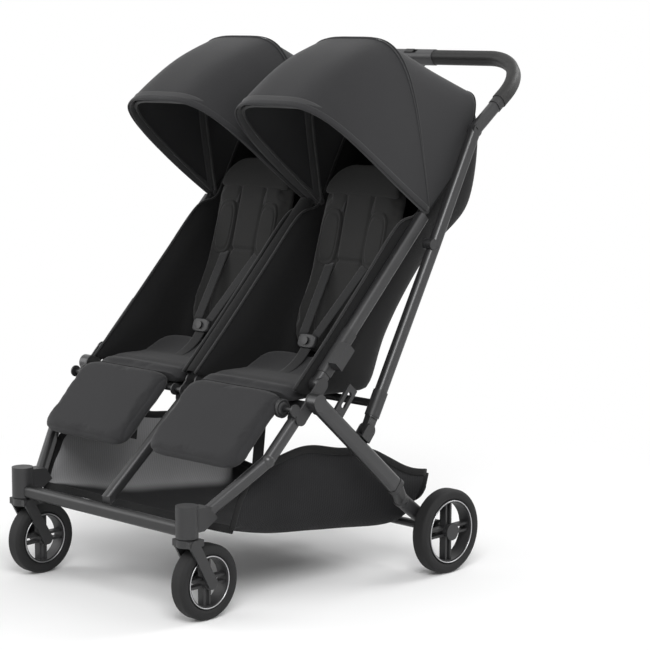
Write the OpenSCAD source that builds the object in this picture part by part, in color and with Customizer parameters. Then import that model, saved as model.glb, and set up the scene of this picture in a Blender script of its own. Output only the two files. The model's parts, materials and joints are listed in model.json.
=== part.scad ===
// Side by side double stroller. The side view is drawn in depth (Y) and height (Z) from the
// front axle, front to -Y, and the whole is then moved so that it stands about the origin.

/* [Wheels] */
// Diameter of the front wheels
front_d = 148; // [138:1:154]
// Diameter of the rear wheels
rear_d = 176; // [164:1:188]
// Width of the tyres
tyre_w = 36; // [30:1:38]
// Depth of the tyre from tread to rim
tyre_h = 22; // [18:1:26]
// Distance from the middle to each front wheel
front_x = 250; // [240:1:258]
// Distance between the front and rear axles
wheelbase = 589; // [575:1:605]
// Distance of each caster stem ahead of its axle
trail = 44; // [38:1:50]
// Diameter of the axles and stems
axle_d = 12; // [10:1:14]

/* [Frame] */
// Distance from the middle to each inner frame tube
frame_x = 317; // [309:1:325]
// Thickness of the flat oval tubes
tube_t = 22; // [20:1:24]
// Corner radius of the flat oval tubes
tube_r = 9; // [6:0.5:9.5]
// Gap between the inner and the outer plane of tubes
plane_gap = 4; // [3.5:0.5:6]
// Depth of the front legs
leg_d = 25; // [22:1:28]
// Depth of the upper tubes
upper_d = 27; // [24:1:30]
// Depth of the rear legs
rear_leg_d = 34; // [30:1:36]
// Depth of the links and the handle tubes
link_d = 26; // [24:1:28]
// Depth position of the front leg pivot
pivot_y = 182; // [176:1:188]
// Height of the front leg pivot
pivot_z = 376; // [370:1:384]
// Distance between the two hub pivots
pivot_gap = 82.8; // [80:0.4:88]
// Slope of the upper tubes
frame_angle = 45.3; // [44:0.1:46.5]
// Length of the upper tubes
upper_len = 434; // [424:1:444]
// Length of the front leg above its bend
knee_len = 106.8; // [95:0.2:120]
// Slope of the rear legs
rear_leg_angle = 41.2; // [40:0.1:42.4]
// Length of the rear legs
rear_leg_len = 300; // [288:1:310]
// Diameter of the hub cross tube
cross_d = 20; // [16:1:22]
// Diameter of the hinge pins
pin_d = 10; // [8:0.5:11]
// Running clearance round a pin
run_clear = 0.05; // [0.02:0.01:0.1]
// Gap left beside a moving piece
side_gap = 0.4; // [0.3:0.05:0.6]

/* [Handle] */
// Distance of the link pivot down the rear leg
clevis_along = 156; // [150:1:164]
// Rise of the link pivot over the middle of the rear leg
clevis_rise = 38; // [36:1:42]
// Slope of the links
link_angle = 60.7; // [59.5:0.1:62]
// Length of the links
link_len = 402.5; // [392:0.5:412]
// Slope of the lower handle tubes
handle_angle = 61.7; // [60.5:0.1:63]
// Length of the lower handle tubes
handle_len = 263; // [250:1:275]
// Slope of the upper handle tubes
grip_angle = 36.6; // [34:0.2:39]
// Reach of the handle from its bend to the bar
grip_reach = 239; // [225:1:250]
// Corner radius of the handle in plan
corner_r = 120; // [105:1:135]
// Thickness of the grip cover
grip_skin = 3; // [2:0.5:4]
// Half length of the fold housing on the bar
housing_half = 68; // [60:1:80]

/* [Seats] */
// Height of a seat cushion
seat_h = 28; // [24:1:32]
// Rear end of the seat cushions
seat_rear = 357; // [350:1:358]
// Thickness of a backrest
back_t = 24; // [20:1:25]
// Length of a backrest
back_len = 418; // [400:1:430]
// Slope of a backrest at rest
back_angle = 71; // [70:0.5:73]
// Thickness of a leg rest
rest_t = 26; // [22:1:28]
// Length of a leg rest
rest_len = 166; // [150:1:175]
// Thickness of the cloth walls
cloth_t = 3; // [2.5:0.5:3.5]
// Rise of the side cloth over the middle of the upper tubes
wing_h = 29; // [24:1:34]

/* [Canopies] */
// Overhang of each canopy past the middle of the side tube
canopy_over = 7; // [5.5:0.5:8]
// Inner edge of each canopy from the middle
canopy_in = 6; // [5:0.5:7]
// Thickness of the canopy cloth
canopy_t = 2.4; // [2:0.2:2.6]
// Distance of the canopy pivot beyond the upper tube
canopy_post = 16; // [14:1:20]
// Reach of the front edge of a canopy
visor_reach = 360; // [350:1:366]
// Reach of the crown of a canopy
crown_reach = 352; // [345:1:358]
// Reach of the rear edge of a canopy
rear_reach = 283; // [272:1:290]

/* [Basket] */
// Half width of the basket
basket_half = 284; // [270:1:292]
// Thickness of the basket wall
basket_t = 3; // [2:0.5:5]

/* [Hidden] */
$fn = 48;

// Points of the side view, each as depth and height
function along(p, a, r) = p + r * [cos(a), sin(a)];
function turned(p, c, a) = c + [(p - c) * [cos(a), -sin(a)], (p - c) * [sin(a), cos(a)]];
function xyz(x, p) = [x, p[0], p[1]];

// Planes and levels
outer_x = frame_x + tube_t + plane_gap;
inner_face = frame_x - tube_t / 2;
plate_x = frame_x + tube_t / 2 + side_gap;
outer_face = outer_x - tube_t / 2;
wheel_gap = 4;
rear_x = frame_x + tube_t / 2 + wheel_gap + tyre_w / 2;
front_axle = [0, front_d / 2];
rear_axle = [wheelbase, rear_d / 2];
crown_gap = 2;
crown_t = 15;
crown_z = front_d + crown_gap;
housing_z = crown_z + crown_t + crown_gap;
housing_h = 62;
housing_d = 44;
stem_y = -trail;

// Pivots
leg_pivot = [pivot_y, pivot_z];
upper_pivot = along(leg_pivot, frame_angle, pivot_gap);
hub_mid = (leg_pivot + upper_pivot) / 2;
hub_d = leg_d + 4;
eye_d = leg_d + 2;
cross_off = 11 + cross_d / 2;
cross_at = along(hub_mid, frame_angle - 90, cross_off);
rest_axis = leg_pivot + [-17, 18];
leg_foot = [0, housing_z + 36];
leg_slope = atan2(leg_foot[1] - pivot_z, leg_foot[0] - pivot_y);
knee = along(leg_pivot, leg_slope, knee_len);
rear_foot = along(hub_mid, -rear_leg_angle, rear_leg_len);
clevis = along(along(hub_mid, -rear_leg_angle, clevis_along), 90 - rear_leg_angle, clevis_rise);
fold_joint = along(clevis, link_angle, link_len);
knuckle_off = link_d / 2 + 1;
knuckle = along(fold_joint, link_angle + 90, knuckle_off);
knuckle_r = 11;
knuckle_t = 8;
handle_bend = along(fold_joint, handle_angle, handle_len);
bar = along(handle_bend, grip_angle, grip_reach);
tube_top = along(upper_pivot, frame_angle, upper_len);
canopy_pivot = along(upper_pivot, frame_angle, upper_len + canopy_post);
grip_d = link_d + 2 * grip_skin;
grip_t = tube_t + 2 * grip_skin;
grip_r = tube_r + grip_skin;
house_d = grip_d + 2;
house_t = grip_t + 2;
bar_half = grip_r + (house_t / 2 - grip_r) * cos(grip_angle) + (house_d / 2 - grip_r) * sin(grip_angle);
mid_y = (bar[0] + bar_half - front_d / 2) / 2;

// Seats
seat_gap = 0.1;
wall_x = inner_face - 5 - cloth_t;
divider_x = tube_t / 2 + 5.5;
seat_in = divider_x + cloth_t + 3;
seat_out = wall_x - 2;
seat_mid = (seat_in + seat_out) / 2;
seat_z = cross_at[1] + cross_d / 2 + seat_gap;
rest_r = 22;
seat_front = rest_axis[0] + rest_r + 1.5;
recline_axis = [seat_rear + 19, seat_z + 39];
rod_d = 8;
crown_fn = 360;

// Colours
tube_grey = "#5a5b5d";
plastic = "#3c3d3f";
black = "#232325";
cloth = "#434549";
liner = "#2c2c2d";

// Shared shapes

// Moves a piece drawn from the front axle to its place
module placed() {
    translate([0, -mid_y, 0]) children();
}

// A side view thickened across the width
module slab(x0, x1) {
    translate([x0, 0, 0]) rotate([90, 0, 90]) linear_extrude(x1 - x0) children();
}

// A piece and its mirror image
module both() {
    children();
    mirror([1, 0, 0]) children();
}

// A piece on the left, or mirrored to the right
module sided(left) {
    if (left) children();
    else mirror([1, 0, 0]) children();
}

// A rounded rectangle
module oval(t, d, r) {
    square([t - 2 * r, d], center = true);
    square([t, d - 2 * r], center = true);
    for (sx = [-1, 1], sy = [-1, 1])
        translate([sx * (t / 2 - r), sy * (d / 2 - r)]) circle(r);
}

// A straight tube from p to q, t thick across and d deep in the side view
module run(p, q, t, d, r) {
    v = q - p;
    translate(p) rotate([atan2(v[2], v[1]) - 90, 0, 0]) rotate([0, asin(v[0] / norm(v)), 0])
        linear_extrude(norm(v)) oval(t, d, r);
}

// A round bar across the width, from x0 to x1
module across(p, d, x0, x1) {
    translate([x0, p[0], p[1]]) rotate([0, 90, 0]) cylinder(d = d, h = x1 - x0);
}

// A flat bar in the side view with round ends
module strap(p, q, d) {
    v = q - p;
    translate(p) circle(d = d);
    translate(q) circle(d = d);
    translate(p) rotate(atan2(v[1], v[0])) translate([0, 0.5 - d / 2]) square([norm(v), d - 1]);
}

// Rear frame

module rear_legs() {
    color(tube_grey) placed() both() {
        run(xyz(outer_x, hub_mid), xyz(outer_x, rear_foot), tube_t, rear_leg_d, tube_r);
        across(hub_mid, rear_leg_d, outer_x - tube_t / 2, outer_x + tube_t / 2);
    }
}

// Outline of a hub plate with its ears for the cross tube and the leg rest rod
module hub_outline() {
    strap(leg_pivot, upper_pivot, hub_d);
    translate(cross_at) circle(d = cross_d + 6);
    translate(hub_mid) circle(d = hub_d + 6);
    translate(rest_axis) circle(d = pin_d + 14);
}

module hub_brackets() {
    color(plastic) placed() both() {
        slab(plate_x, outer_face) hub_outline();
        difference() {
            slab(tube_t / 2 + side_gap, tube_t / 2 + side_gap + 3.6) hub_outline();
            across(cross_at, cross_d + 2 * seat_gap, 0, divider_x);
            across(rest_axis, pin_d + 2 * seat_gap, 0, divider_x);
        }
    }
}

module hub_cross_tube() {
    color(black) placed() across(cross_at, cross_d, -plate_x, plate_x);
}

module leg_rest_rod() {
    color(black) placed() across(rest_axis, pin_d, -plate_x, plate_x);
}

// Pins of the hubs and the clevises, with flat heads
module frame_pins() {
    head_t = 3;
    color("silver") placed() {
        for (p = [leg_pivot, upper_pivot]) {
            both() {
                across(p, pin_d, inner_face - side_gap, plate_x);
                across(p, pin_d + 6, inner_face - side_gap - head_t, inner_face - side_gap);
            }
            across(p, pin_d, -tube_t / 2 - side_gap, tube_t / 2 + side_gap);
        }
        both() across(clevis, pin_d, clevis_in, clevis_out);
    }
}

// Brackets from the rear legs inboard of the rear wheels to the axle, with the wheel stubs
bracket_d = 30;
bracket_turn = along(rear_foot, -rear_leg_angle, 64);
cap_len = 12;
boss_lip = 1;
stub_end = rear_x + tyre_w / 2;
module axle_brackets() {
    cap_end = along(rear_foot, -rear_leg_angle, cap_len);
    neck = along(rear_foot, -rear_leg_angle, cap_len - 4);
    color(plastic) placed() both() {
        run(xyz(outer_x, rear_foot), xyz(outer_x, cap_end), tube_t + 2, rear_leg_d + 2, tube_r);
        run(xyz(outer_x, neck), xyz(frame_x, bracket_turn), tube_t - 1, bracket_d - 1, tube_r - 1);
        translate(xyz(frame_x, bracket_turn)) sphere(d = bracket_d + 3);
        run(xyz(frame_x, bracket_turn), xyz(frame_x, rear_axle), tube_t, bracket_d, tube_r);
        across(rear_axle, bracket_d + 8, inner_face - boss_lip, inner_face + tube_t + boss_lip);
        across(rear_axle, axle_d, inner_face + tube_t, stub_end);
    }
}

module rear_axle_tube() {
    color(tube_grey) placed() across(rear_axle, axle_d + 6, boss_lip - inner_face, inner_face - boss_lip);
}

// Clevises that carry the links on the rear legs
tongue_t = 14;
clevis_in = outer_x - tongue_t / 2 - side_gap;
clevis_out = outer_x + tongue_t / 2 + side_gap;
clevis_d = 28;
clevis_base = 4;
module clevis_cheek() {
    translate(hub_mid) rotate(-rear_leg_angle) {
        translate([clevis_along, clevis_rise]) circle(d = clevis_d);
        translate([clevis_along - clevis_d / 2, rear_leg_d / 2])
            square([clevis_d, clevis_rise - rear_leg_d / 2]);
    }
}
module link_clevises() {
    color(plastic) placed() both() {
        slab(outer_face, clevis_in) clevis_cheek();
        slab(clevis_out, outer_face + tube_t) clevis_cheek();
        slab(outer_face, outer_face + tube_t) translate(hub_mid) rotate(-rear_leg_angle)
            translate([clevis_along - clevis_d / 2, rear_leg_d / 2]) square([clevis_d, clevis_base]);
    }
}

// Loop on the left rear leg that the fold catch takes hold of
strike_t = 6;
strike_w = 28;
strike_at = 65;
strike_top = 80;
strike_bar = 12;
module fold_strike() {
    hole_w = strike_w - 16;
    color(plastic) placed() slab(outer_x - strike_t / 2, outer_x + strike_t / 2)
        translate(hub_mid) rotate(-rear_leg_angle) difference() {
            translate([strike_at - strike_w / 2, rear_leg_d / 2])
                square([strike_w, strike_top - rear_leg_d / 2]);
            strap([strike_at, rear_leg_d / 2 + 20], [strike_at, strike_top - strike_bar - hole_w / 2],
                hole_w);
        }
}

// Seat cushions with a crown and cross channels
seat_top = seat_z + seat_h;
seat_crown_r = 600;
seat_edge_r = 9;
module seat_base(left) {
    seat_len = seat_rear - seat_front;
    channels = 3;
    channel_d = 9;
    color(liner) placed() sided(left) difference() {
        intersection() {
            slab(seat_in, seat_out)
                translate([seat_front + seat_len / 2, seat_z + seat_h / 2]) oval(seat_len, seat_h, seat_edge_r);
            translate([seat_mid, seat_front, seat_top - seat_crown_r]) rotate([-90, 0, 0])
                cylinder(r = seat_crown_r, h = seat_len, $fn = crown_fn);
        }
        for (i = [1:channels - 1])
            across([seat_front + i * seat_len / channels, seat_top], channel_d, seat_in, seat_out);
        across(cross_at, cross_d + 2 * strap_t + 1, hang_x - hang_w / 2 - 1, hang_x + hang_w / 2 + 1);
    }
}
module seat_base_left() { seat_base(true); }
module seat_base_right() { seat_base(false); }

// Crotch straps on the seats, below the buckles
strap_w = 28;
strap_t = 3;
module crotch_straps() {
    strap_len = 44;
    color(black) placed() both()
        translate([seat_mid - strap_w / 2, seat_rear - seat_edge_r - strap_len, seat_top])
        cube([strap_w, strap_len, strap_t]);
}

// Basket hung from the hub cross tube and the rear axle
basket_front = [46, housing_z + 4];
basket_nose = cross_at + [-50, -100];
basket_tail = rear_axle + [-10, 48];
basket_lip = rear_axle + [12, 110];
basket_low = [basket_front, [cross_at[0], housing_z - 48], rear_axle + [-52, -4],
    rear_axle + [-30, 10], basket_tail];
function beyond(p, q) = q + 0.3 * (q - p);
basket_pts = concat(basket_low, [basket_lip, cross_at + [126, -104], basket_nose]);
basket_cut = concat(basket_low, [beyond(basket_tail, basket_lip) + [0, 20], cross_at + [126, -64],
    beyond(basket_front, basket_nose)]);
hang_x = 190;
hang_w = 30;
module hang_loop(p, d, q) {
    slab(hang_x - hang_w / 2, hang_x + hang_w / 2) difference() {
        union() {
            translate(p) circle(d = d + 2 * strap_t);
            strap(p, q, strap_t + 1);
        }
        translate(p) circle(d = d + 2 * seat_gap);
    }
}
module basket() {
    color(liner) placed() {
        difference() {
            slab(-basket_half, basket_half) polygon(basket_pts);
            slab(basket_t - basket_half, basket_half - basket_t) offset(delta = -basket_t) polygon(basket_cut);
        }
        both() {
            hang_loop(cross_at, cross_d, cross_at + [-52, -104]);
            hang_loop(rear_axle, axle_d + 6, rear_axle + [-10, 46]);
        }
    }
}

// Brake pedal on the rear axle
pedal_half = 34;
module brake_pedal() {
    tube = axle_d + 6;
    tip = rear_axle + [46, 20];
    color(black) placed() difference() {
        union() {
            across(rear_axle, tube + 12, -pedal_half, pedal_half);
            slab(1 - pedal_half, pedal_half - 1) strap(rear_axle, tip, 9);
        }
        across(rear_axle, tube + 2 * run_clear, -pedal_half - 1, pedal_half + 1);
    }
}

// Front frame

// Solid outline of a caster housing with its arm to the leg
module housing_shape() {
    arm_half = 17;
    translate([front_x, stem_y, housing_z]) cylinder(d = housing_d, h = housing_h);
    slab(front_x - arm_half, front_x + arm_half)
        polygon([[stem_y, housing_z + 10], [stem_y + 30, housing_z + 10], leg_foot + [20, -6],
            leg_foot + [4, 18], [stem_y, housing_z + housing_h - 4]]);
}

module front_leg(left) {
    color(tube_grey) placed() sided(left) difference() {
        union() {
            run(xyz(frame_x, leg_pivot), xyz(frame_x, knee), tube_t, leg_d, tube_r);
            run(xyz(frame_x, knee), xyz(front_x, leg_foot), tube_t, leg_d, tube_r);
            across(leg_pivot, eye_d, inner_face, inner_face + tube_t);
            translate(xyz(frame_x, knee)) sphere(d = leg_d + 3);
        }
        across(leg_pivot, pin_d + 2 * run_clear, inner_face - 1, plate_x);
        housing_shape();
    }
}
module front_leg_left() { front_leg(true); }
module front_leg_right() { front_leg(false); }

// Crossbar between the casters
bar_h = 26;
bar_w = 24;
bar_at = [stem_y, housing_z + bar_h / 2];
module crossbar_shape() {
    run(xyz(-front_x, bar_at), xyz(front_x, bar_at), bar_w, bar_h, tube_r);
}
module front_crossbar() {
    color(black) placed() difference() {
        crossbar_shape();
        both() housing_shape();
    }
}

module front_strut() {
    color(tube_grey) placed() difference() {
        union() {
            run(xyz(0, leg_pivot), xyz(0, bar_at + [0, 6]), tube_t, leg_d, tube_r);
            across(leg_pivot, eye_d, -tube_t / 2, tube_t / 2);
        }
        across(leg_pivot, pin_d + 2 * run_clear, -tube_t, tube_t);
        slab(-tube_t, tube_t) translate(bar_at) strap_block();
    }
}
// Space taken by the crossbar at the foot of the strut
module strap_block() {
    translate([-bar_w, -bar_h]) square([bar_w * 1.5, bar_h * 2]);
}

stem_d = axle_d + 4;
stem_len = 44;
module caster_housings() {
    color(plastic) placed() both() difference() {
        housing_shape();
        translate([front_x, stem_y, housing_z - 1])
            cylinder(d = stem_d + 2 * run_clear, h = stem_len + 3);
    }
}

// Caster forks with stem and axle
arm_x = tyre_w / 2 + 2;
arm_t = 5;
module caster_fork(left) {
    color(plastic) placed() sided(left) {
        translate([front_x, stem_y, crown_z]) {
            cylinder(d = stem_d, h = housing_z + stem_len - crown_z);
            cylinder(d = housing_d - 2, h = crown_t);
        }
        slab(front_x - arm_x - arm_t + 1, front_x + arm_x + arm_t - 1)
            translate([stem_y - 16, crown_z + 1]) square([38, crown_t - 2]);
        for (x = [front_x - arm_x - arm_t, front_x + arm_x])
            slab(x, x + arm_t) strap([stem_y, crown_z + 3], front_axle, 24);
        across(front_axle, axle_d, front_x - arm_x - 2, front_x + arm_x + 2);
    }
}
module caster_fork_left() { caster_fork(true); }
module caster_fork_right() { caster_fork(false); }

// Wheels

module tyre(x, axle, d) {
    translate(xyz(x, axle)) rotate([0, 90, 0]) rotate_extrude($fn = 96)
        translate([(d - tyre_h) / 2, 0]) oval(tyre_h, tyre_w, tyre_h / 2 - 2);
}

// A rim with four double spokes; the cap closes the hub of a wheel on a stub
cap_t = 2;
module rim(x, axle, d, hub_half, cap) {
    rim_r = d / 2 - tyre_h;
    rim_w = tyre_w - 8;
    rim_t = 5;
    hub = axle_d + 16;
    spoke_t = 5;
    spoke_w = 16;
    spoke_gap = 7;
    translate(xyz(x, axle)) rotate([0, 90, 0]) difference() {
        union() {
            rotate_extrude($fn = 96) translate([rim_r - rim_t, -rim_w / 2]) square([rim_t, rim_w]);
            translate([0, 0, -hub_half]) cylinder(d = hub, h = 2 * hub_half);
            for (a = [0:90:270], s = [-1, 1]) rotate(a)
                translate([0, s * spoke_gap - spoke_t / 2, -spoke_w / 2])
                cube([rim_r - rim_t / 2, spoke_t, spoke_w]);
            if (cap) translate([0, 0, hub_half]) cylinder(d = hub + 8, h = cap_t);
        }
        translate([0, 0, -hub_half - 1])
            cylinder(d = axle_d + 2 * run_clear, h = 2 * hub_half + (cap ? 1.3 : 2));
    }
}

front_hub_half = tyre_w / 2 + 1;
module front_tyre_left() { color(black) placed() tyre(front_x, front_axle, front_d); }
module front_tyre_right() { color(black) placed() tyre(-front_x, front_axle, front_d); }
module front_rim_left() {
    color(plastic) placed() rim(front_x, front_axle, front_d, front_hub_half, false);
}
module front_rim_right() {
    color(plastic) placed() rim(-front_x, front_axle, front_d, front_hub_half, false);
}
module rear_tyre_left() { color(black) placed() tyre(rear_x, rear_axle, rear_d); }
module rear_tyre_right() { color(black) placed() tyre(-rear_x, rear_axle, rear_d); }
module rear_rim_left() {
    color(plastic) placed() rim(rear_x, rear_axle, rear_d, tyre_w / 2, true);
}
module rear_rim_right() {
    color(plastic) placed() mirror([1, 0, 0]) rim(rear_x, rear_axle, rear_d, tyre_w / 2, true);
}

// Upper frame

module upper_tube(x) {
    difference() {
        union() {
            run(xyz(x, upper_pivot), xyz(x, tube_top), tube_t, upper_d, tube_r);
            across(upper_pivot, upper_d, x - tube_t / 2, x + tube_t / 2);
        }
        across(upper_pivot, pin_d + 2 * run_clear, x - tube_t / 2 - 1, x + tube_t / 2 + 1);
    }
}
module upper_side_tubes() { color(tube_grey) placed() both() upper_tube(frame_x); }
module upper_tube_center() { color(tube_grey) placed() upper_tube(0); }

// Sleeves on the lower part of the side tubes
sleeve_t = 1.2;
sleeve_from = 24;
sleeve_to = 130;
module upper_sleeves() {
    color(plastic) placed() both() difference() {
        run(xyz(frame_x, along(upper_pivot, frame_angle, sleeve_from)),
            xyz(frame_x, along(upper_pivot, frame_angle, sleeve_to)),
            tube_t + 2 * sleeve_t, upper_d + 2 * sleeve_t, tube_r);
        run(xyz(frame_x, upper_pivot), xyz(frame_x, tube_top), tube_t, upper_d, tube_r);
    }
}

// Catch on the left sleeve that meets the strike when folded
fold_turn = 60;
strike_point = along(along(hub_mid, -rear_leg_angle, strike_at), 90 - rear_leg_angle,
    strike_top - strike_bar / 2);
catch_at = turned(strike_point, upper_pivot, fold_turn);
module fold_catch() {
    wall = 3;
    pocket_half = strike_t / 2 + 1.5;
    color(plastic) placed() difference() {
        slab(frame_x + tube_t / 2 + sleeve_t, outer_x + pocket_half + wall)
            translate(catch_at) rotate(frame_angle) translate([-29, -8]) square([52, 25]);
        slab(outer_x - pocket_half, outer_x + pocket_half)
            translate(catch_at) rotate(frame_angle) translate([-26, -9]) square([46, 23]);
    }
}

// Posts and pins at the tops of the upper tubes for the canopy bows
bow_t = 4.7;
front_inset = 4;
mid_inset = 12.3;
canopy_out = frame_x + canopy_over;
post_pin_d = 6;
post_d = 16;
module post(x0, x1) {
    slab(x0, x1) {
        translate(tube_top) rotate(frame_angle) translate([0, -post_d / 2]) square([canopy_post, post_d]);
        translate(canopy_pivot) circle(d = post_d);
    }
}
module canopy_posts() {
    color(plastic) placed() {
        both() {
            post(canopy_out - mid_inset + side_gap, canopy_out - front_inset - bow_t - side_gap);
            across(canopy_pivot, post_pin_d, canopy_out - mid_inset - bow_t - 1, canopy_out - front_inset);
        }
        post(-canopy_in - front_inset + side_gap, canopy_in + front_inset - side_gap);
        across(canopy_pivot, post_pin_d, -canopy_in - mid_inset - bow_t, canopy_in + mid_inset + bow_t);
    }
}

module recline_rods() {
    color("silver") placed() both() across(recline_axis, rod_d, divider_x + cloth_t, wall_x);
}

// Cloth shells behind and beside the seats
wing_front = along(along(upper_pivot, frame_angle, -40), frame_angle + 90, wing_h);
wing_top = along(along(upper_pivot, frame_angle, upper_len - 30), frame_angle + 90, wing_h);
shell_back = [canopy_pivot + [18, -12], along(canopy_pivot, 53, rear_reach - 10),
    canopy_pivot + [204, 142], canopy_pivot + [182, 0], canopy_pivot + [62, -92],
    recline_axis + [143, 120], recline_axis + [56, 16], recline_axis + [42, -37],
    recline_axis + [8, -43]];
shell_pts = concat([wing_front, wing_top], shell_back, [[upper_pivot[0], seat_z + 4]]);
shell_open = [shell_back[1] + [-4, 4], recline_axis + [14, -39.5], [0, seat_z - 100],
    [0, canopy_pivot[1]], canopy_pivot + [0, 400]];
stud_d = 10;
module seat_shell(left) {
    color(cloth) placed() sided(left) {
        difference() {
            slab(divider_x, wall_x + cloth_t) polygon(shell_pts);
            slab(divider_x + cloth_t, wall_x) {
                offset(delta = -cloth_t) polygon(shell_pts);
                polygon(shell_open);
            }
        }
        for (s = [sleeve_to + stud_d, upper_len * 0.6, upper_len - 60]) {
            across(along(upper_pivot, frame_angle, s), stud_d, wall_x + cloth_t, inner_face);
            across(along(upper_pivot, frame_angle, s), stud_d, tube_t / 2, divider_x);
        }
    }
}
module seat_shell_left() { seat_shell(true); }
module seat_shell_right() { seat_shell(false); }

// Cloth strip over the centre tube
module divider_cover() {
    color(cloth) placed() slab(-divider_x, divider_x)
        translate(along(upper_pivot, frame_angle, -40)) rotate(frame_angle)
        translate([0, wing_h - cloth_t]) square([upper_len + 10, cloth_t]);
}

// Links and handle

rivet_d = 6;
knuckle_in = outer_x - knuckle_t / 2;
knuckle_out = outer_x + knuckle_t / 2;
tongue_len = 27;
module links() {
    color(tube_grey) placed() both() difference() {
        union() {
            slab(outer_x - tongue_t / 2, outer_x + tongue_t / 2)
                strap(clevis, along(clevis, link_angle, tongue_len), link_d - 2);
            run(xyz(outer_x, along(clevis, link_angle, tongue_len)), xyz(outer_x, fold_joint),
                tube_t, link_d, tube_r);
            across(knuckle, 2 * knuckle_r, knuckle_in, knuckle_out);
        }
        across(clevis, pin_d + 2 * run_clear, outer_face, outer_face + tube_t);
        across(knuckle, rivet_d + 2 * run_clear, outer_face, outer_face + tube_t);
        across(knuckle, 2 * (knuckle_r + side_gap), outer_face - 1, knuckle_in);
        across(knuckle, 2 * (knuckle_r + side_gap), knuckle_out, outer_face + tube_t + 1);
    }
}

// Collars round the feet of the links, joined by a cross tube
collar_t = 1.8;
collar_from = 30;
collar_to = 84;
module link_collars() {
    color(plastic) placed() both() difference() {
        run(xyz(outer_x, along(clevis, link_angle, collar_from)),
            xyz(outer_x, along(clevis, link_angle, collar_to)),
            tube_t + 2 * collar_t, link_d + 2 * collar_t, tube_r + 1);
        run(xyz(outer_x, clevis), xyz(outer_x, fold_joint), tube_t, link_d, tube_r);
    }
}
lock_d = 16;
module lock_cross_tube() {
    reach = outer_face - collar_t;
    color(black) placed()
        across(along(clevis, link_angle, (collar_from + collar_to) / 2), lock_d, -reach, reach);
}

// The handle lies in one plane above its bend: across the width, and up its slope
module handle_plane() {
    translate(xyz(0, handle_bend)) rotate([grip_angle, 0, 0]) children();
}
grip_from = grip_reach - corner_r - 23;
collar_len = 18;
joint_gap = 0.6;
module handle_tubes() {
    color(tube_grey) placed() both() {
        difference() {
            union() {
                run(xyz(outer_x, along(fold_joint, handle_angle, joint_gap)), xyz(outer_x, handle_bend),
                    tube_t, link_d, tube_r);
                run(xyz(outer_x, handle_bend), xyz(outer_x, along(handle_bend, grip_angle, grip_from)),
                    tube_t, link_d, tube_r);
                across(handle_bend, link_d, outer_face + 2, outer_face + tube_t - 2);
                across(knuckle, 2 * knuckle_r, outer_face, knuckle_in - side_gap);
                across(knuckle, 2 * knuckle_r, knuckle_out + side_gap, outer_face + tube_t);
            }
            across(knuckle, 2 * (knuckle_r + side_gap), knuckle_in - side_gap, knuckle_out + side_gap);
        }
        across(knuckle, rivet_d, outer_face, outer_face + tube_t);
    }
}

module handle_collars() {
    ring = 1.5;
    color(plastic) placed() both() handle_plane()
        translate([outer_x, grip_from - collar_len, 0]) rotate([-90, 0, 0])
        linear_extrude(collar_len) difference() {
            oval(tube_t + 2 * ring, link_d + 2 * ring, tube_r + ring);
            oval(tube_t, link_d, tube_r);
        }
}

module handle_grips() {
    grip_len = grip_reach - corner_r - grip_from;
    color(black) placed() both() handle_plane() {
        translate([outer_x, grip_from, 0]) rotate([-90, 0, 0])
            linear_extrude(grip_len) oval(grip_t, grip_d, grip_r);
        translate([outer_x - corner_r, grip_reach - corner_r, 0])
            rotate_extrude(angle = 90) translate([corner_r, 0]) oval(grip_t, grip_d, grip_r);
        translate([housing_half, grip_reach, 0]) rotate([0, 90, 0])
            linear_extrude(outer_x - corner_r - housing_half) oval(grip_d, grip_t, grip_r);
    }
}

// Housing in the middle of the bar with its slider and trigger
slider_half = 12;
slider_stroke = 8;
slider_w = 11;
trigger_half = 30;
trigger_w = 14;
trigger_stroke = 4;
pocket_gap = 0.4;
house_top = house_d / 2;
module fold_housing() {
    color(tube_grey) placed() handle_plane() difference() {
        translate([-housing_half, grip_reach, 0]) rotate([0, 90, 0])
            linear_extrude(2 * housing_half) oval(house_d, house_t, grip_r);
        translate([-slider_half - 1, grip_reach - slider_w / 2 - pocket_gap, house_top - 4])
            cube([2 * slider_half + slider_stroke + 2, slider_w + 2 * pocket_gap, 5]);
        translate([-trigger_half - 1, grip_reach - trigger_w / 2 - pocket_gap, -house_top - 1])
            cube([2 * trigger_half + 2, trigger_w + 2 * pocket_gap, 11]);
    }
}
module fold_slider() {
    color(black) placed() handle_plane()
        translate([-slider_half, grip_reach - slider_w / 2, house_top - 4])
        cube([2 * slider_half, slider_w, 6]);
}
module fold_trigger() {
    color(black) placed() handle_plane()
        translate([-trigger_half, grip_reach - trigger_w / 2, -house_top - 3])
        cube([2 * trigger_half, trigger_w, 8.5]);
}

// Seat backs, leg rests and harness

// The backrest is drawn up its slope from the recline rod
module back_plane(left) {
    sided(left) translate(xyz(0, recline_axis)) rotate([back_angle, 0, 0]) children();
}
back_in = seat_in + 1;
back_out = seat_out - 1;
back_crown_r = 1500;
module backrest(left) {
    back_w = back_out - back_in;
    back_low = 6;
    channel_d = 8;
    color(liner) placed() back_plane(left) difference() {
        union() {
            intersection() {
                translate([seat_mid, (back_len + back_low) / 2, -back_t / 2]) linear_extrude(back_t)
                    oval(back_w, back_len - back_low, 40);
                translate([seat_mid, 0, back_t / 2 - back_crown_r]) rotate([-90, 0, 0])
                    cylinder(r = back_crown_r, h = back_len + 1, $fn = crown_fn);
            }
            translate([back_in + 30, 0, 0]) rotate([0, 90, 0]) cylinder(d = back_t - 2, h = back_w - 60);
        }
        for (y = [back_len * 0.36, back_len * 0.74]) translate([back_in, y, back_t / 2 + 2])
            rotate([0, 90, 0]) cylinder(d = channel_d, h = back_w);
        translate([back_in, 0, 0]) rotate([0, 90, 0])
            cylinder(d = rod_d + 2 * run_clear, h = back_w);
    }
}
module backrest_left() { backrest(true); }
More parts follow.
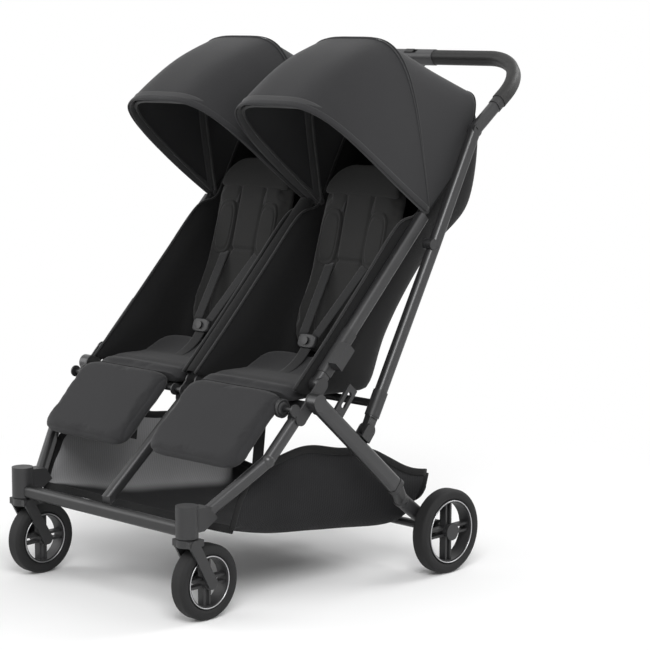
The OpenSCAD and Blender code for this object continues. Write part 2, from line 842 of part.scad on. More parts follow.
module backrest_right() { backrest(false); }

// Shoulder straps with pads and the buckle
buckle_w = 54;
buckle_t = 14;
buckle_from = 28;
buckle_to = 62;
button_d = 16;
button_hole = 8;
module harness(left) {
    pad_w = 40;
    pad_t = 9;
    pad_x = 46;
    pad_from = 178;
    pad_to = 318;
    web_w = 24;
    color(black) placed() back_plane(left) translate([seat_mid, 0, back_t / 2]) {
        for (s = [-1, 1]) {
            translate([s * pad_x, (pad_from + pad_to) / 2, 0]) linear_extrude(pad_t)
                oval(pad_w, pad_to - pad_from, 15);
            translate([s * buckle_w / 3 - web_w / 2, buckle_to, 1]) rotate(-s * 13)
                cube([web_w, pad_from - buckle_to + 10, strap_t]);
        }
        difference() {
            translate([0, (buckle_from + buckle_to) / 2, 0]) linear_extrude(buckle_t)
                oval(buckle_w, buckle_to - buckle_from, 12);
            translate([0, (buckle_from + buckle_to) / 2, buckle_t - button_hole])
                cylinder(d = button_d + 2 * run_clear, h = button_hole + 1);
        }
    }
}
module harness_left() { harness(true); }
module harness_right() { harness(false); }

// Buckle buttons, pressed into the buckles
module buckle_button(left) {
    color("dimgray") placed() back_plane(left)
        translate([seat_mid, (buckle_from + buckle_to) / 2, back_t / 2 + buckle_t - button_hole + 3])
        cylinder(d = button_d, h = button_hole - 1);
}
module buckle_button_left() { buckle_button(true); }
module buckle_button_right() { buckle_button(false); }

// Leg rests hang from the rod along the slope of the front legs
rest_in = seat_in + 14;
rest_crown_r = 900;
module leg_rest(left) {
    rest_w = seat_out - rest_in;
    rest_mid = (seat_out + rest_in) / 2;
    barrel_d = pin_d + 14;
    knob_d = 38;
    color(cloth) placed() sided(left) translate(xyz(0, rest_axis)) rotate([leg_slope, 0, 0]) difference() {
        union() {
            intersection() {
                translate([rest_mid, rest_len / 2, -rest_r]) linear_extrude(rest_t)
                    oval(rest_w, rest_len, 20);
                translate([rest_mid, 0, rest_crown_r - rest_r]) rotate([-90, 0, 0])
                    cylinder(r = rest_crown_r, h = rest_len, $fn = crown_fn);
            }
            translate([rest_in, 0, 0]) rotate([0, 90, 0]) cylinder(d = barrel_d, h = rest_w);
            translate([seat_out, 0, 0]) rotate([0, 90, 0]) cylinder(d = knob_d, h = 4);
        }
        translate([rest_in - 1, 0, 0]) rotate([0, 90, 0])
            cylinder(d = pin_d + 2 * run_clear, h = rest_w + 8);
    }
}
module leg_rest_left() { leg_rest(true); }
module leg_rest_right() { leg_rest(false); }

// Canopies

// An arch across a canopy as a squared oval: x across and r up from the pivot line
arch_steps = 24;
root_r = 15;
canopy_half = (canopy_out - canopy_in) / 2;
canopy_mid = (canopy_out + canopy_in) / 2;
function root_turn(reach, n) = asin(pow(root_r / reach, n / 2));
function arch_point(half, reach, n, f) = [
    half * sign(cos(f)) * pow(abs(cos(f)), 2 / n), reach * pow(sin(f), 2 / n)];
function arch(half, reach, n) = let (f0 = root_turn(reach, n)) [for (i = [0:arch_steps])
    arch_point(half, reach, n, f0 + i * (180 - 2 * f0) / arch_steps)];
function flipped(list) = [for (i = [len(list) - 1:-1:0]) list[i]];

// Lines that hold the cloth: angle, how far the feet lead, reach and squareness
front_angle = 143;
mid_angle = 100;
rear_angle = 57;
foot_lead = 17;
front_n = 4.9;
mid_n = 4.1;
rear_n = 12;
front_line = [front_angle, foot_lead, visor_reach, front_n];
mid_line = [mid_angle, 0, crown_reach, mid_n];
rear_line = [rear_angle, 0, rear_reach, rear_n];

module bow(left, inset, a, reach, n) {
    band = 6;
    color("silver") placed() sided(left) translate(xyz(canopy_mid, canopy_pivot)) rotate([a, 0, 0]) {
        difference() {
            union() {
                translate([0, 0, -bow_t / 2]) linear_extrude(bow_t) polygon(concat(
                    arch(canopy_half - inset, reach, n),
                    flipped(arch(canopy_half - inset - bow_t, reach - band, n))));
                for (s = [-1, 1]) translate([s * (canopy_half - inset - bow_t / 2) - bow_t / 2, 0, 0]) {
                    rotate([0, 90, 0]) cylinder(d = post_d - 2, h = bow_t);
                    translate([0, 0, -bow_t / 2]) cube([bow_t, root_r + 3, bow_t]);
                }
            }
            translate([-canopy_half, 0, 0]) rotate([0, 90, 0])
                cylinder(d = post_pin_d + 2 * run_clear, h = 2 * canopy_half);
        }
    }
}
bow_room = canopy_t + 4;
visor_room = canopy_t + 7;
module mid_bow(left) { bow(left, mid_inset, mid_angle, crown_reach - bow_room, mid_n); }
module front_bow(left) { bow(left, front_inset, front_angle - 1, visor_reach - visor_room, front_n); }
module canopy_mid_bow_left() { mid_bow(true); }
module canopy_mid_bow_right() { mid_bow(false); }
module canopy_front_bow_left() { front_bow(true); }
module canopy_front_bow_right() { front_bow(false); }

// Cloth of a canopy: an outer and an inner skin drawn taut between its three lines, closed along the edges
cloth_steps = 14;
front_swell = 0.045;
rear_swell = -0.008;
function held(line, d) = [for (p = arch(canopy_half - d, line[2] - d, line[3]))
    let (a = line[0] + line[1] * (1 - p[1] / line[2])) [p[0], p[1] * cos(a), p[1] * sin(a)]];
function swollen(p, k) = [p[0], k * p[1], k * p[2]];
function taut(p, q, t, swell) = [for (i = [0:arch_steps])
    swollen((1 - t) * p[i] + t * q[i], 1 + swell * sin(180 * t))];
function cloth_row(j, d) = let (t = 2 * j / cloth_steps)
    t < 1 ? taut(held(rear_line, d), held(mid_line, d), t, rear_swell)
        : taut(held(mid_line, d), held(front_line, d), t - 1, front_swell);
module canopy_cloth() {
    skin = [for (inner = [0, 1], j = [0:cloth_steps]) each cloth_row(j, inner * canopy_t)];
    w = arch_steps + 1;
    n = w * (cloth_steps + 1);
    function quad(a, b, c, d) = [[a, b, c], [a, c, d]];
    outer = [for (j = [0:cloth_steps - 1], i = [0:arch_steps - 1]) let (k = j * w + i)
        each quad(k, k + 1, k + w + 1, k + w)];
    inner = [for (f = outer) [f[0] + n, f[2] + n, f[1] + n]];
    ends = [for (i = [0:arch_steps - 1]) let (k = cloth_steps * w + i)
        each concat(quad(i + 1, i, i + n, i + 1 + n), quad(k, k + 1, k + 1 + n, k + n))];
    sides = [for (j = [0:cloth_steps - 1]) let (k = j * w, m = k + arch_steps)
        each concat(quad(k, k + w, k + w + n, k + n), quad(m + w, m, m + n, m + w + n))];
    translate(xyz(canopy_mid, canopy_pivot)) polyhedron(skin, concat(outer, inner, ends, sides));
}
module canopies() { color(cloth) placed() both() canopy_cloth(); }

rear_legs();
hub_brackets();
hub_cross_tube();
leg_rest_rod();
frame_pins();
axle_brackets();
rear_axle_tube();
link_clevises();
fold_strike();
seat_base_left();
seat_base_right();
crotch_straps();
basket();
brake_pedal();
front_leg_left();
front_leg_right();
front_strut();
front_crossbar();
caster_housings();
caster_fork_left();
caster_fork_right();
front_tyre_left();
front_tyre_right();
front_rim_left();
front_rim_right();
rear_tyre_left();
rear_tyre_right();
rear_rim_left();
rear_rim_right();
upper_side_tubes();
upper_tube_center();
upper_sleeves();
fold_catch();
canopy_posts();
recline_rods();
seat_shell_left();
seat_shell_right();
divider_cover();
links();
link_collars();
lock_cross_tube();
handle_tubes();
handle_collars();
handle_grips();
fold_housing();
fold_slider();
fold_trigger();
backrest_left();
backrest_right();
harness_left();
harness_right();
buckle_button_left();
buckle_button_right();
leg_rest_left();
leg_rest_right();
canopy_mid_bow_left();
canopy_mid_bow_right();
canopy_front_bow_left();
canopy_front_bow_right();
canopies();
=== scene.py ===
"""Side by side double stroller: cloth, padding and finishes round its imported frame, with a plain studio."""

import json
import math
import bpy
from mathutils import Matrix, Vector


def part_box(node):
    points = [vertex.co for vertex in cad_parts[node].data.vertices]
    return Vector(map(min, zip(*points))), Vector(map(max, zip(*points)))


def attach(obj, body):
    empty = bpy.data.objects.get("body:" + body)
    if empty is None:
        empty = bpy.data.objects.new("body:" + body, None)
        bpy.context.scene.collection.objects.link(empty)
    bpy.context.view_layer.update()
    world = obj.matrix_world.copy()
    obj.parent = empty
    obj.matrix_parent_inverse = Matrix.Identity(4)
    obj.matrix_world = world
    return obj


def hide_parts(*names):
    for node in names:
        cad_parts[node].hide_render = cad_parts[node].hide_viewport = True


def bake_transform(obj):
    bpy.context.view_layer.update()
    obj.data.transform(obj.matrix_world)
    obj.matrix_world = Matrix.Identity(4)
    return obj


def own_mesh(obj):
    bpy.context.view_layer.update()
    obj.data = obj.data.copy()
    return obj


bl_info = {
    "name": "Double stroller dressing",
    "version": (1, 0, 0),
    "blender": (4, 5, 0),
    "location": "View3D > Sidebar > Stroller",
    "description": "Adds the soft goods, finishes and studio of a side by side double stroller",
    "category": "Add Mesh",
}

import bmesh
import bpy
import numpy as np
from bpy.props import FloatProperty, FloatVectorProperty, PointerProperty
from mathutils import Matrix, Vector

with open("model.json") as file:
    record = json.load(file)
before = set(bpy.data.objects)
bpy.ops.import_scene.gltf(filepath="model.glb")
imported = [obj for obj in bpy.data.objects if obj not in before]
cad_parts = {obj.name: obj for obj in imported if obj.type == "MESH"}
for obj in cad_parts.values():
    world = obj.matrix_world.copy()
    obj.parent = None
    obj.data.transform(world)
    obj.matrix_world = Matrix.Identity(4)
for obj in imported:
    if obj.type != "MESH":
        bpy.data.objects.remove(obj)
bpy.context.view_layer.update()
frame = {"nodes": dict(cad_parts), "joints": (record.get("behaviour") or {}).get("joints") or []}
JOINTS = {j["name"]: j for j in frame["joints"]}
SIDES = {"left": 1, "right": -1}
MM = 0.001


def middle(node):
    """Centre of a CAD node's box."""
    low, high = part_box(node)
    return (low + high) / 2


def pivot(joint):
    """Side-view place of a joint's axis, as depth and height in metres."""
    return np.array(JOINTS[joint]["pos_m"][1:])


AXLE_Y = middle("front_tyre_left").y
UPPER_PIVOT = pivot("fold")
CANOPY_PIVOT = pivot("canopy_left")
RECLINE = pivot("recline_left")
REST_AXIS = pivot("leg_rest_left")


def mm(*values):
    """Millimetres to metres."""
    return tuple(v * MM for v in values)


def side_view(y, z):
    """A side-view point given in mm from the front axle's depth and the floor, in metres."""
    return np.array((AXLE_Y + y * MM, z * MM))


def along(point, degrees, length):
    """The side-view point at that length in mm and that angle from another."""
    a = math.radians(degrees)
    return np.array(point) + length * MM * np.array((math.cos(a), math.sin(a)))


# Settings that a user would change


def length(name, text, value):
    return FloatProperty(name=name, description=text, default=value, min=0, unit="LENGTH", precision=4)


def colour(name, text, value):
    return FloatVectorProperty(
        name=name, description=text, default=value, min=0, max=1, size=3, subtype="COLOR"
    )


class StrollerSizes(bpy.types.PropertyGroup):
    """Sizes of the soft goods."""

    cloth: length("Cloth", "Thickness of the canopy and shell cloth", 0.0016)
    hem: length("Hem", "Width of the hem along a canopy's visor", 0.013)
    piping: length("Piping", "Diameter of the piping along seams", 0.0042)
    web: length("Webbing", "Width of the harness webbing", 0.024)
    puff: length("Puff", "How far a pad may swell", 0.007)
    sag: length("Sag", "How far the basket sags between its loops", 0.014)


class StrollerColours(bpy.types.PropertyGroup):
    """Colours of the finishes."""

    canopy: colour("Canopy", "Charcoal cloth of the canopies and leg rests", (0.0225, 0.0225, 0.0238))
    shell: colour("Shell", "Near-black cloth of the seat shells", (0.0055, 0.0055, 0.0058))
    padding: colour("Padding", "Soft black cloth of the seats", (0.017, 0.0169, 0.0167))
    binding: colour("Binding", "Grey tape that binds edges and seams", (0.034, 0.034, 0.035))
    webbing: colour("Webbing", "Harness webbing", (0.009, 0.009, 0.0095))
    mesh: colour("Mesh", "Net cloth of the basket", (0.016, 0.016, 0.017))
    lining: colour("Lining", "Pale net inside the basket's walls", (0.27, 0.27, 0.274))
    paint: colour("Paint", "Gunmetal paint of the tubes", (0.04, 0.04, 0.0412))
    plastic: colour("Plastic", "Charcoal moulded plastic", (0.017, 0.017, 0.0178))
    black: colour("Black", "Black moulded plastic", (0.008, 0.008, 0.0085))
    housing: colour("Housing", "Grey plastic of the fold handle", (0.055, 0.055, 0.057))
    steel: colour("Steel", "Bare steel of pins and rods", (0.5, 0.5, 0.51))
    rubber: colour("Rubber", "Tyres", (0.008, 0.008, 0.0083))
    leather: colour("Leather", "Stitched cover of the handle bar", (0.012, 0.0118, 0.0115))


def sizes():
    return bpy.context.scene.stroller_sizes


def colours():
    return bpy.context.scene.stroller_colours


# Finishes


# Places of the colour mix's share, colours and result among the sockets of its node
MIX_COLOURS = (0, 6, 7)
MIX_RESULT = 2


class Value:
    """A shader socket that takes part in Python arithmetic; each operation adds a Math node."""

    def __init__(self, owner, socket):
        self.owner = owner
        self.socket = socket

    def _math(self, operation, *inputs):
        return self.owner.node("ShaderNodeMath", {"operation": operation}, *inputs)

    def __add__(self, other):
        return self._math("ADD", self, other)

    __radd__ = __add__

    def __mul__(self, other):
        return self._math("MULTIPLY", self, other)

    __rmul__ = __mul__

    def __sub__(self, other):
        return self._math("SUBTRACT", self, other)

    def __rsub__(self, other):
        return self._math("SUBTRACT", other, self)

    def __pow__(self, other):
        return self._math("POWER", self, other)

    def sine(self):
        return self._math("SINE", self)

    def size(self):
        return self._math("ABSOLUTE", self)


class Nodes:
    """A node tree that nodes are added to."""

    def __init__(self, tree):
        self.tree = tree

    def node(self, kind, settings=None, *inputs, output=0, places=None, **named):
        """Adds a node: its settings, then its sockets by order, place or name, and gives one output."""
        made = self.tree.nodes.new(kind)
        for key, value in (settings or {}).items():
            setattr(made, key, value)
        for key, value in zip(places or range(len(inputs)), inputs):
            self.join(value, made.inputs[key])
        for key, value in named.items():
            self.join(value, made.inputs[key.replace("_", " ")])
        return Value(self, made.outputs[output])

    def join(self, value, socket):
        """Links a socket to another, or sets a plain value on it."""
        if isinstance(value, Value):
            self.tree.links.new(value.socket, socket)
        else:
            socket.default_value = value


FINISHES = {}


class Finish(Nodes):
    """One procedural material and its principled shader, kept by name."""

    def __init__(self, name):
        self.material = bpy.data.materials.new(name)
        self.material.use_nodes = True
        super().__init__(self.material.node_tree)
        self.shader = self.tree.nodes["Principled BSDF"]
        FINISHES[name] = self

    def place(self):
        """Object coordinates, in metres."""
        return self.node("ShaderNodeTexCoord", output="Object")

    def split(self, vector):
        """The three parts of a vector."""
        first = self.node("ShaderNodeSeparateXYZ", None, vector)
        return [Value(self, s) for s in first.socket.node.outputs]

    def noise(self, scale, detail=2.0, roughness=0.5, stretch=None):
        where = self.place()
        if stretch:
            where = self.node("ShaderNodeVectorMath", {"operation": "MULTIPLY"}, where, stretch)
        return self.node(
            "ShaderNodeTexNoise", None, Vector=where, Scale=scale, Detail=detail, Roughness=roughness
        )

    def blend(self, share, first, second):
        """A colour socket between two, by a share from 0 to 1."""
        settings = {"data_type": "RGBA"}
        sockets = {"places": MIX_COLOURS, "output": MIX_RESULT}
        return self.node("ShaderNodeMix", settings, share, first, second, **sockets)

    def tint(self, share, dark, light):
        """A colour between two plain ones."""
        return self.blend(share, (*dark, 1), (*light, 1))

    def ramp(self, value, start, end):
        """A smooth share from 0 at one value to 1 at another."""
        settings = {"interpolation_type": "SMOOTHSTEP"}
        return self.node("ShaderNodeMapRange", settings, value, From_Min=start, From_Max=end)

    def relief(self, height, depth, strength=1.0):
        bump = self.node("ShaderNodeBump", None, Height=height, Distance=depth, Strength=strength)
        self.join(bump, self.shader.inputs["Normal"])

    def set(self, **sockets):
        for key, value in sockets.items():
            self.join(value, self.shader.inputs[key.replace("_", " ")])
        return self


def shade(rgb, factor):
    """A colour made darker or lighter."""
    return tuple(min(1.0, c * factor) for c in rgb)


def finish(name):
    return FINISHES[name].material


def woven(name, rgb, pitch, contrast=0.25, sheen=0.12, rough=0.86, depth=0.00012):
    """Plain-weave cloth: two crossed threads, slubs and a soft uneven dye."""
    f = Finish(name)
    x, y, z = f.split(f.place())
    turns = 2 * math.pi / pitch
    warp = ((x + y * 0.87) * turns).sine()
    weft = ((z + y * 0.5 - x * 0.5) * turns).sine()
    weave = (warp * weft) * 0.5 + 0.5
    slub = f.noise(260, 3, stretch=(1, 1, 0.25))
    dye = f.noise(9, 4)
    share = weave * 0.35 + slub * 0.4 + dye * 0.45 - 0.1
    f.set(
        Base_Color=f.tint(share, shade(rgb, 1 - contrast), shade(rgb, 1 + contrast)),
        Roughness=slub * 0.12 + (rough - 0.06),
        Sheen_Weight=sheen,
        Sheen_Roughness=0.45,
        Specular_IOR_Level=0.25,
    )
    f.relief(weave + slub * 0.6 + dye * 3.0, depth)


def moulded(name, rgb, rough, grain=900, depth=0.00006, coat=0.0, metal=0.0):
    """Moulded plastic: fine spark texture, handling marks and a slight mottling."""
    f = Finish(name)
    spark = f.noise(grain, 2)
    marks = f.noise(28, 5, 0.62)
    f.set(
        Base_Color=f.tint(marks * 0.7 + spark * 0.3, shade(rgb, 0.86), shade(rgb, 1.16)),
        Roughness=marks * 0.16 + (rough - 0.08),
        Metallic=metal,
        Coat_Weight=coat,
        Coat_Roughness=0.2,
    )
    f.relief(spark, depth)


def painted(name, rgb):
    """Satin metallic paint with fine flake and faint drawn lines in the tube below."""
    f = Finish(name)
    flake = f.noise(2600, 1)
    cloudy = f.noise(14, 3)
    drawn = f.noise(420, 2, stretch=(1, 0.06, 0.06))
    f.set(
        Base_Color=f.tint(flake * 0.45 + cloudy * 0.55, shade(rgb, 0.84), shade(rgb, 1.2)),
        Metallic=0.55,
        Roughness=flake * 0.1 + cloudy * 0.08 + 0.28,
        Coat_Weight=0.25,
        Coat_Roughness=0.22,
    )
    f.relief(drawn + flake * 0.4, 0.00003)


def bare_steel(name, rgb):
    f = Finish(name)
    drawn = f.noise(700, 3, stretch=(0.05, 1, 1))
    f.set(
        Base_Color=f.tint(drawn, shade(rgb, 0.85), shade(rgb, 1.1)),
        Metallic=1.0,
        Roughness=drawn * 0.14 + 0.26,
    )
    f.relief(drawn, 0.00003)


NET_PITCH = 0.0032


def net(name, rgb, lining):
    """Net cloth of the basket, with a paler lining on the inside of its side walls."""
    f = Finish(name)
    x, y, z = f.split(f.place())
    turns = math.pi / NET_PITCH
    over = ((x + y * 0.6) * turns).sine().size()
    under = ((z * 1.2 - x * 0.4 + y * 0.5) * turns).sine().size()
    thread = over * under
    cloudy = f.noise(12, 3)
    facing, _, _ = f.split(f.node("ShaderNodeNewGeometry", output="Normal"))
    inside = f.ramp(x * facing, -0.1, -0.2)
    weave = thread * 0.7 + cloudy * 0.4
    outer = f.tint(weave, shade(rgb, 1.35), shade(rgb, 0.45))
    f.set(
        Base_Color=f.blend(inside, outer, f.tint(weave, shade(lining, 1.2), shade(lining, 0.7))),
        Roughness=cloudy * 0.1 + 0.8,
        Specular_IOR_Level=0.2,
    )
    f.relief(1 - thread, 0.0003)


def band(name, rgb, pitch, across):
    """Webbing or tape: ribs along it and a matte yarn."""
    f = Finish(name)
    x, y, z = f.split(f.place())
    turns = 2 * math.pi / pitch
    ribs = ((x * across[0] + y * across[1] + z * across[2]) * turns).sine() * 0.5 + 0.5
    yarn = f.noise(600, 2)
    f.set(
        Base_Color=f.tint(ribs * 0.5 + yarn * 0.5, shade(rgb, 0.75), shade(rgb, 1.3)),
        Roughness=yarn * 0.14 + 0.68,
        Sheen_Weight=0.15,
        Specular_IOR_Level=0.3,
    )
    f.relief(ribs + yarn * 0.4, 0.0002)


def grained(name, rgb):
    """Leatherette: pebbled cells with creases, glossier on the crests."""
    f = Finish(name)
    cells = f.node(
        "ShaderNodeTexVoronoi", {"feature": "SMOOTH_F1"}, Vector=f.place(), Scale=620.0, Smoothness=0.7
    )
    crease = f.noise(60, 4)
    f.set(
        Base_Color=f.tint(cells * 0.7 + crease * 0.4, shade(rgb, 1.25), shade(rgb, 0.7)),
        Roughness=cells * 0.25 + crease * 0.14 + 0.36,
        Specular_IOR_Level=0.45,
    )
    f.relief(1 - cells + crease * 0.5, 0.00022)


def tread(name, rgb):
    """Tyre rubber: dusty crown, finer grain on the walls."""
    f = Finish(name)
    dust = f.noise(36, 5, 0.65)
    grain = f.noise(1500, 2)
    f.set(
        Base_Color=f.tint((dust * 0.8) ** 2 + grain * 0.2, shade(rgb, 0.9), shade(rgb, 2.1)),
        Roughness=dust * 0.16 + 0.66,
        Specular_IOR_Level=0.35,
    )
    f.relief(grain + dust * 0.5, 0.00012)


def make_finishes():
    c = colours()
    woven("canopy_cloth", c.canopy, 0.0013)
    woven("shell_cloth", c.shell, 0.0012, sheen=0.06)
    woven("pad_cloth", c.padding, 0.0015, contrast=0.3, sheen=0.1)
    band("binding_tape", c.binding, 0.0016, (0.4, 0.7, 0.7))
    band("webbing", c.webbing, 0.0021, (1, 0, 0))
    net("basket_net", c.mesh, c.lining)
    painted("tube_paint", c.paint)
    moulded("charcoal_plastic", c.plastic, 0.5)
    moulded("black_plastic", c.black, 0.42)
    moulded("grey_plastic", c.housing, 0.46)
    bare_steel("bare_steel", c.steel)
    tread("tyre_rubber", c.rubber)
    grained("bar_leather", c.leather)


# Mesh tools


def piece(name, points, faces, material):
    """A smooth mesh object in the frame's own place, with one finish."""
    mesh = bpy.data.meshes.new(name)
    mesh.from_pydata([tuple(p) for p in points], [], [tuple(f) for f in faces])
    mesh.validate()
    mesh.materials.append(finish(material))
    mesh.shade_smooth()
    made = bpy.data.objects.new(name, mesh)
    bpy.context.scene.collection.objects.link(made)
    return made


def bake(obj):
    """Applies every modifier of a piece."""
    bpy.context.view_layer.update()
    seen = obj.evaluated_get(bpy.context.evaluated_depsgraph_get())
    mesh = bpy.data.meshes.new_from_object(seen)
    obj.modifiers.clear()
    obj.data = mesh
    mesh.shade_smooth()
    return obj


def modify(obj, kind, **settings):
    """Adds one modifier and applies it."""
    made = obj.modifiers.new(kind, kind)
    for key, value in settings.items():
        setattr(made, key, value)
    return bake(obj)


def points_of(obj):
    flat = np.empty(len(obj.data.vertices) * 3)
    obj.data.vertices.foreach_get("co", flat)
    return flat.reshape(-1, 3)


def move_points(obj, points):
    obj.data.vertices.foreach_set("co", np.asarray(points, np.float32).ravel())
    obj.data.update()


def normals_of(obj):
    flat = np.empty(len(obj.data.vertices) * 3, np.float32)
    obj.data.vertex_normals.foreach_get("vector", flat)
    return flat.reshape(-1, 3)


def grid_faces(rows, columns, closed=False):
    """Quads of a grid of points; a closed grid joins its last column to its first."""
    last = columns if closed else columns - 1
    faces = []
    for i in range(rows - 1):
        here, there = i * columns, (i + 1) * columns
        for j in range(last):
            beside = (j + 1) % columns
            faces.append((here + j, here + beside, there + beside, there + j))
    return faces


def cloth_sheet(name, rows, material, thickness):
    """A thin sheet over a grid of points."""
    rows = np.asarray(rows)
    made = piece(name, rows.reshape(-1, 3), grid_faces(*rows.shape[:2]), material)
    return modify(made, "SOLIDIFY", thickness=thickness, offset=0.0)


def flat_size(rows):
    """Width, length and area of the cloth that a grid of points is cut from."""
    rows = np.asarray(rows)
    over = np.linalg.norm(np.diff(rows, axis=1), axis=2).sum(1).max()
    down = np.linalg.norm(np.diff(rows, axis=0), axis=2).sum(0).max()
    a, b, c, d = rows[:-1, :-1], rows[:-1, 1:], rows[1:, 1:], rows[1:, :-1]
    halves = [np.linalg.norm(np.cross(p - a, q - a), axis=2) for p, q in ((b, c), (c, d))]
    area = (halves[0] + halves[1]).sum() / 2
    return (float(over), float(down)), float(min(area, over * down))


def declare_sheet(rows):
    flat, area = flat_size(rows)


def bulge(wave, power):
    """A sine or cosine made squarer, so that a round section gets flat sides."""
    return np.sign(wave) * np.abs(wave) ** (2 / power)


def sweep(name, path, wide, width, thick, material, power=2.0, steps=12, closed=False):
    """A band of rounded section along a path; wide is the direction of its width at each point."""
    path = np.asarray(path, float)
    wide = np.broadcast_to(np.asarray(wide, float), path.shape)
    ahead = np.gradient(path, axis=0)
    if closed:
        ahead = np.roll(path, -1, 0) - np.roll(path, 1, 0)
    ahead /= np.linalg.norm(ahead, axis=1)[:, None]
    wide = wide - (wide * ahead).sum(1)[:, None] * ahead
    wide /= np.linalg.norm(wide, axis=1)[:, None]
    up = np.cross(ahead, wide)
    turn = np.arange(steps) * 2 * math.pi / steps
    a = bulge(np.cos(turn), power) * width / 2
    b = bulge(np.sin(turn), power) * thick / 2
    grid = path[:, None] + a[None, :, None] * wide[:, None] + b[None, :, None] * up[:, None]
    faces = grid_faces(len(path), steps, True)
    last = (len(path) - 1) * steps
    if closed:
        faces += [(last + j, last + (j + 1) % steps, (j + 1) % steps, j) for j in range(steps)]
    else:
        faces += [tuple(range(steps))[::-1], tuple(range(last, last + steps))]
    return piece(name, grid.reshape(-1, 3), faces, material)


def smooth_path(stops, count):
    """Points at even steps along a rounded line through a few stops."""
    stops = np.asarray(stops, float)
    ends = np.vstack([2 * stops[0] - stops[1], stops, 2 * stops[-1] - stops[-2]])
    found = []
    for t in np.linspace(0, len(stops) - 1, 40 * len(stops)):
        i = min(int(t), len(stops) - 2)
        u = t - i
        p0, p1, p2, p3 = ends[i : i + 4]
        bend = 2 * p0 - 5 * p1 + 4 * p2 - p3
        twist = 3 * p1 - p0 - 3 * p2 + p3
        found.append(0.5 * (2 * p1 + (p2 - p0) * u + bend * u**2 + twist * u**3))
    found = np.array(found)
    run = np.concatenate([[0], np.cumsum(np.linalg.norm(np.diff(found, axis=0), axis=1))])
    even = np.linspace(0, run[-1], count)
    return np.stack([np.interp(even, run, found[:, k]) for k in range(found.shape[1])], 1)


def side_line(stops, count):
    """A rounded side-view line through stops in mm, in metres."""
    return np.array([side_view(*p) for p in smooth_path(stops, count)])


def hollow(count, power):
    """Shares across and down the section of a rounded trough, from edge to edge."""
    turn = np.linspace(0, math.pi, count)
    deep = np.sin(turn) ** (2 / power)
    deep[0] = deep[-1] = 0
    return bulge(np.cos(turn), power), deep


def lathe(name, profile, centre, material, steps=48):
    """A turned piece about the X axis: profile points are (distance along X, radius) in metres."""
    turn = np.arange(steps) * 2 * math.pi / steps
    grid = [
        [(centre[0] + x, centre[1] + r * math.cos(t), centre[2] + r * math.sin(t)) for t in turn]
        for x, r in profile
    ]
    faces = grid_faces(len(profile), steps, True)
    faces += [tuple(range(steps)), tuple(range((len(profile) - 1) * steps, len(profile) * steps))]
    made = piece(name, np.array(grid).reshape(-1, 3), faces, material)
    return facing_out(made)


def facing_out(obj):
    """Turns every face of a closed piece outwards."""
    work = bmesh.new()
    work.from_mesh(obj.data)
    bmesh.ops.recalc_face_normals(work, faces=work.faces)
    work.to_mesh(obj.data)
    work.free()
    obj.data.shade_smooth()
    return obj


def mirrored(obj, name):
    """The same piece on the other side of the stroller."""
    mesh = obj.data.copy()
    made = bpy.data.objects.new(name, mesh)
    bpy.context.scene.collection.objects.link(made)
    mesh.transform(Matrix.Scale(-1, 4, (1, 0, 0)))
    mesh.flip_normals()
    return made


def both_sides(obj):
    """A left piece and its twin on the right, each with its side."""
    return ("left", obj), ("right", mirrored(obj, obj.name.replace("left", "right")))


def plane_at(origin, degrees):
    """A map from a tilted plane's own mm (x, along, above) to the frame."""
    a = math.radians(degrees)

    def place(x, y, z):
        x, y, z = np.broadcast_arrays(*(np.asarray(v, float) * MM for v in (x, y, z)))
        deep = origin[0] + y * math.cos(a) - z * math.sin(a)
        high = origin[1] + y * math.sin(a) + z * math.cos(a)
        return np.stack([x, deep, high], -1)

    return place


def pad(name, place, x_range, y_range, z_range, material, crown=0.35, corner=4.5, waist=4.0, steps=44):
    """A closed cushion in a plane's own mm: rounded corners, sides that pull in, a crowned face."""
    xm, ym = sum(x_range) / 2, sum(y_range) / 2
    xh, yh = (x_range[1] - x_range[0]) / 2, (y_range[1] - y_range[0]) / 2
    low, high = z_range
    u = np.linspace(-1, 1, steps)
    a, b = np.meshgrid(u, u, indexing="ij")
    reach = np.maximum(np.abs(a), np.abs(b))
    shrink = reach / np.maximum((np.abs(a) ** corner + np.abs(b) ** corner), 1e-9) ** (1 / corner)
    x, y = a * shrink, b * shrink
    edge = np.clip(1 - reach, 0, 1)
    swell = (1 - (1 - np.minimum(edge / 0.16, 1)) ** 2) ** 0.5
    dome = 1 - crown * (0.5 * x**2 + 0.5 * y**2)
    mid = low + (high - low) * 0.42
    top = mid + (high - mid) * swell * dome
    bottom = mid - (mid - low) * swell
    pull_x, pull_y = waist * (1 - y**2), waist * (1 - x**2)
    px = xm + x * (xh - pull_x * np.abs(x) ** 3)
    py = ym + y * (yh - pull_y * np.abs(y) ** 3)
    points = np.concatenate([place(px, py, top).reshape(-1, 3), place(px, py, bottom).reshape(-1, 3)])
    faces = grid_faces(steps, steps)
    count = steps * steps
    faces += [tuple(count + k for k in f[::-1]) for f in grid_faces(steps, steps)]
    made = piece(name, points, faces, material)
    modify(made, "WELD", merge_threshold=1e-5)
    return facing_out(made)


PUFF_FRAMES = 20


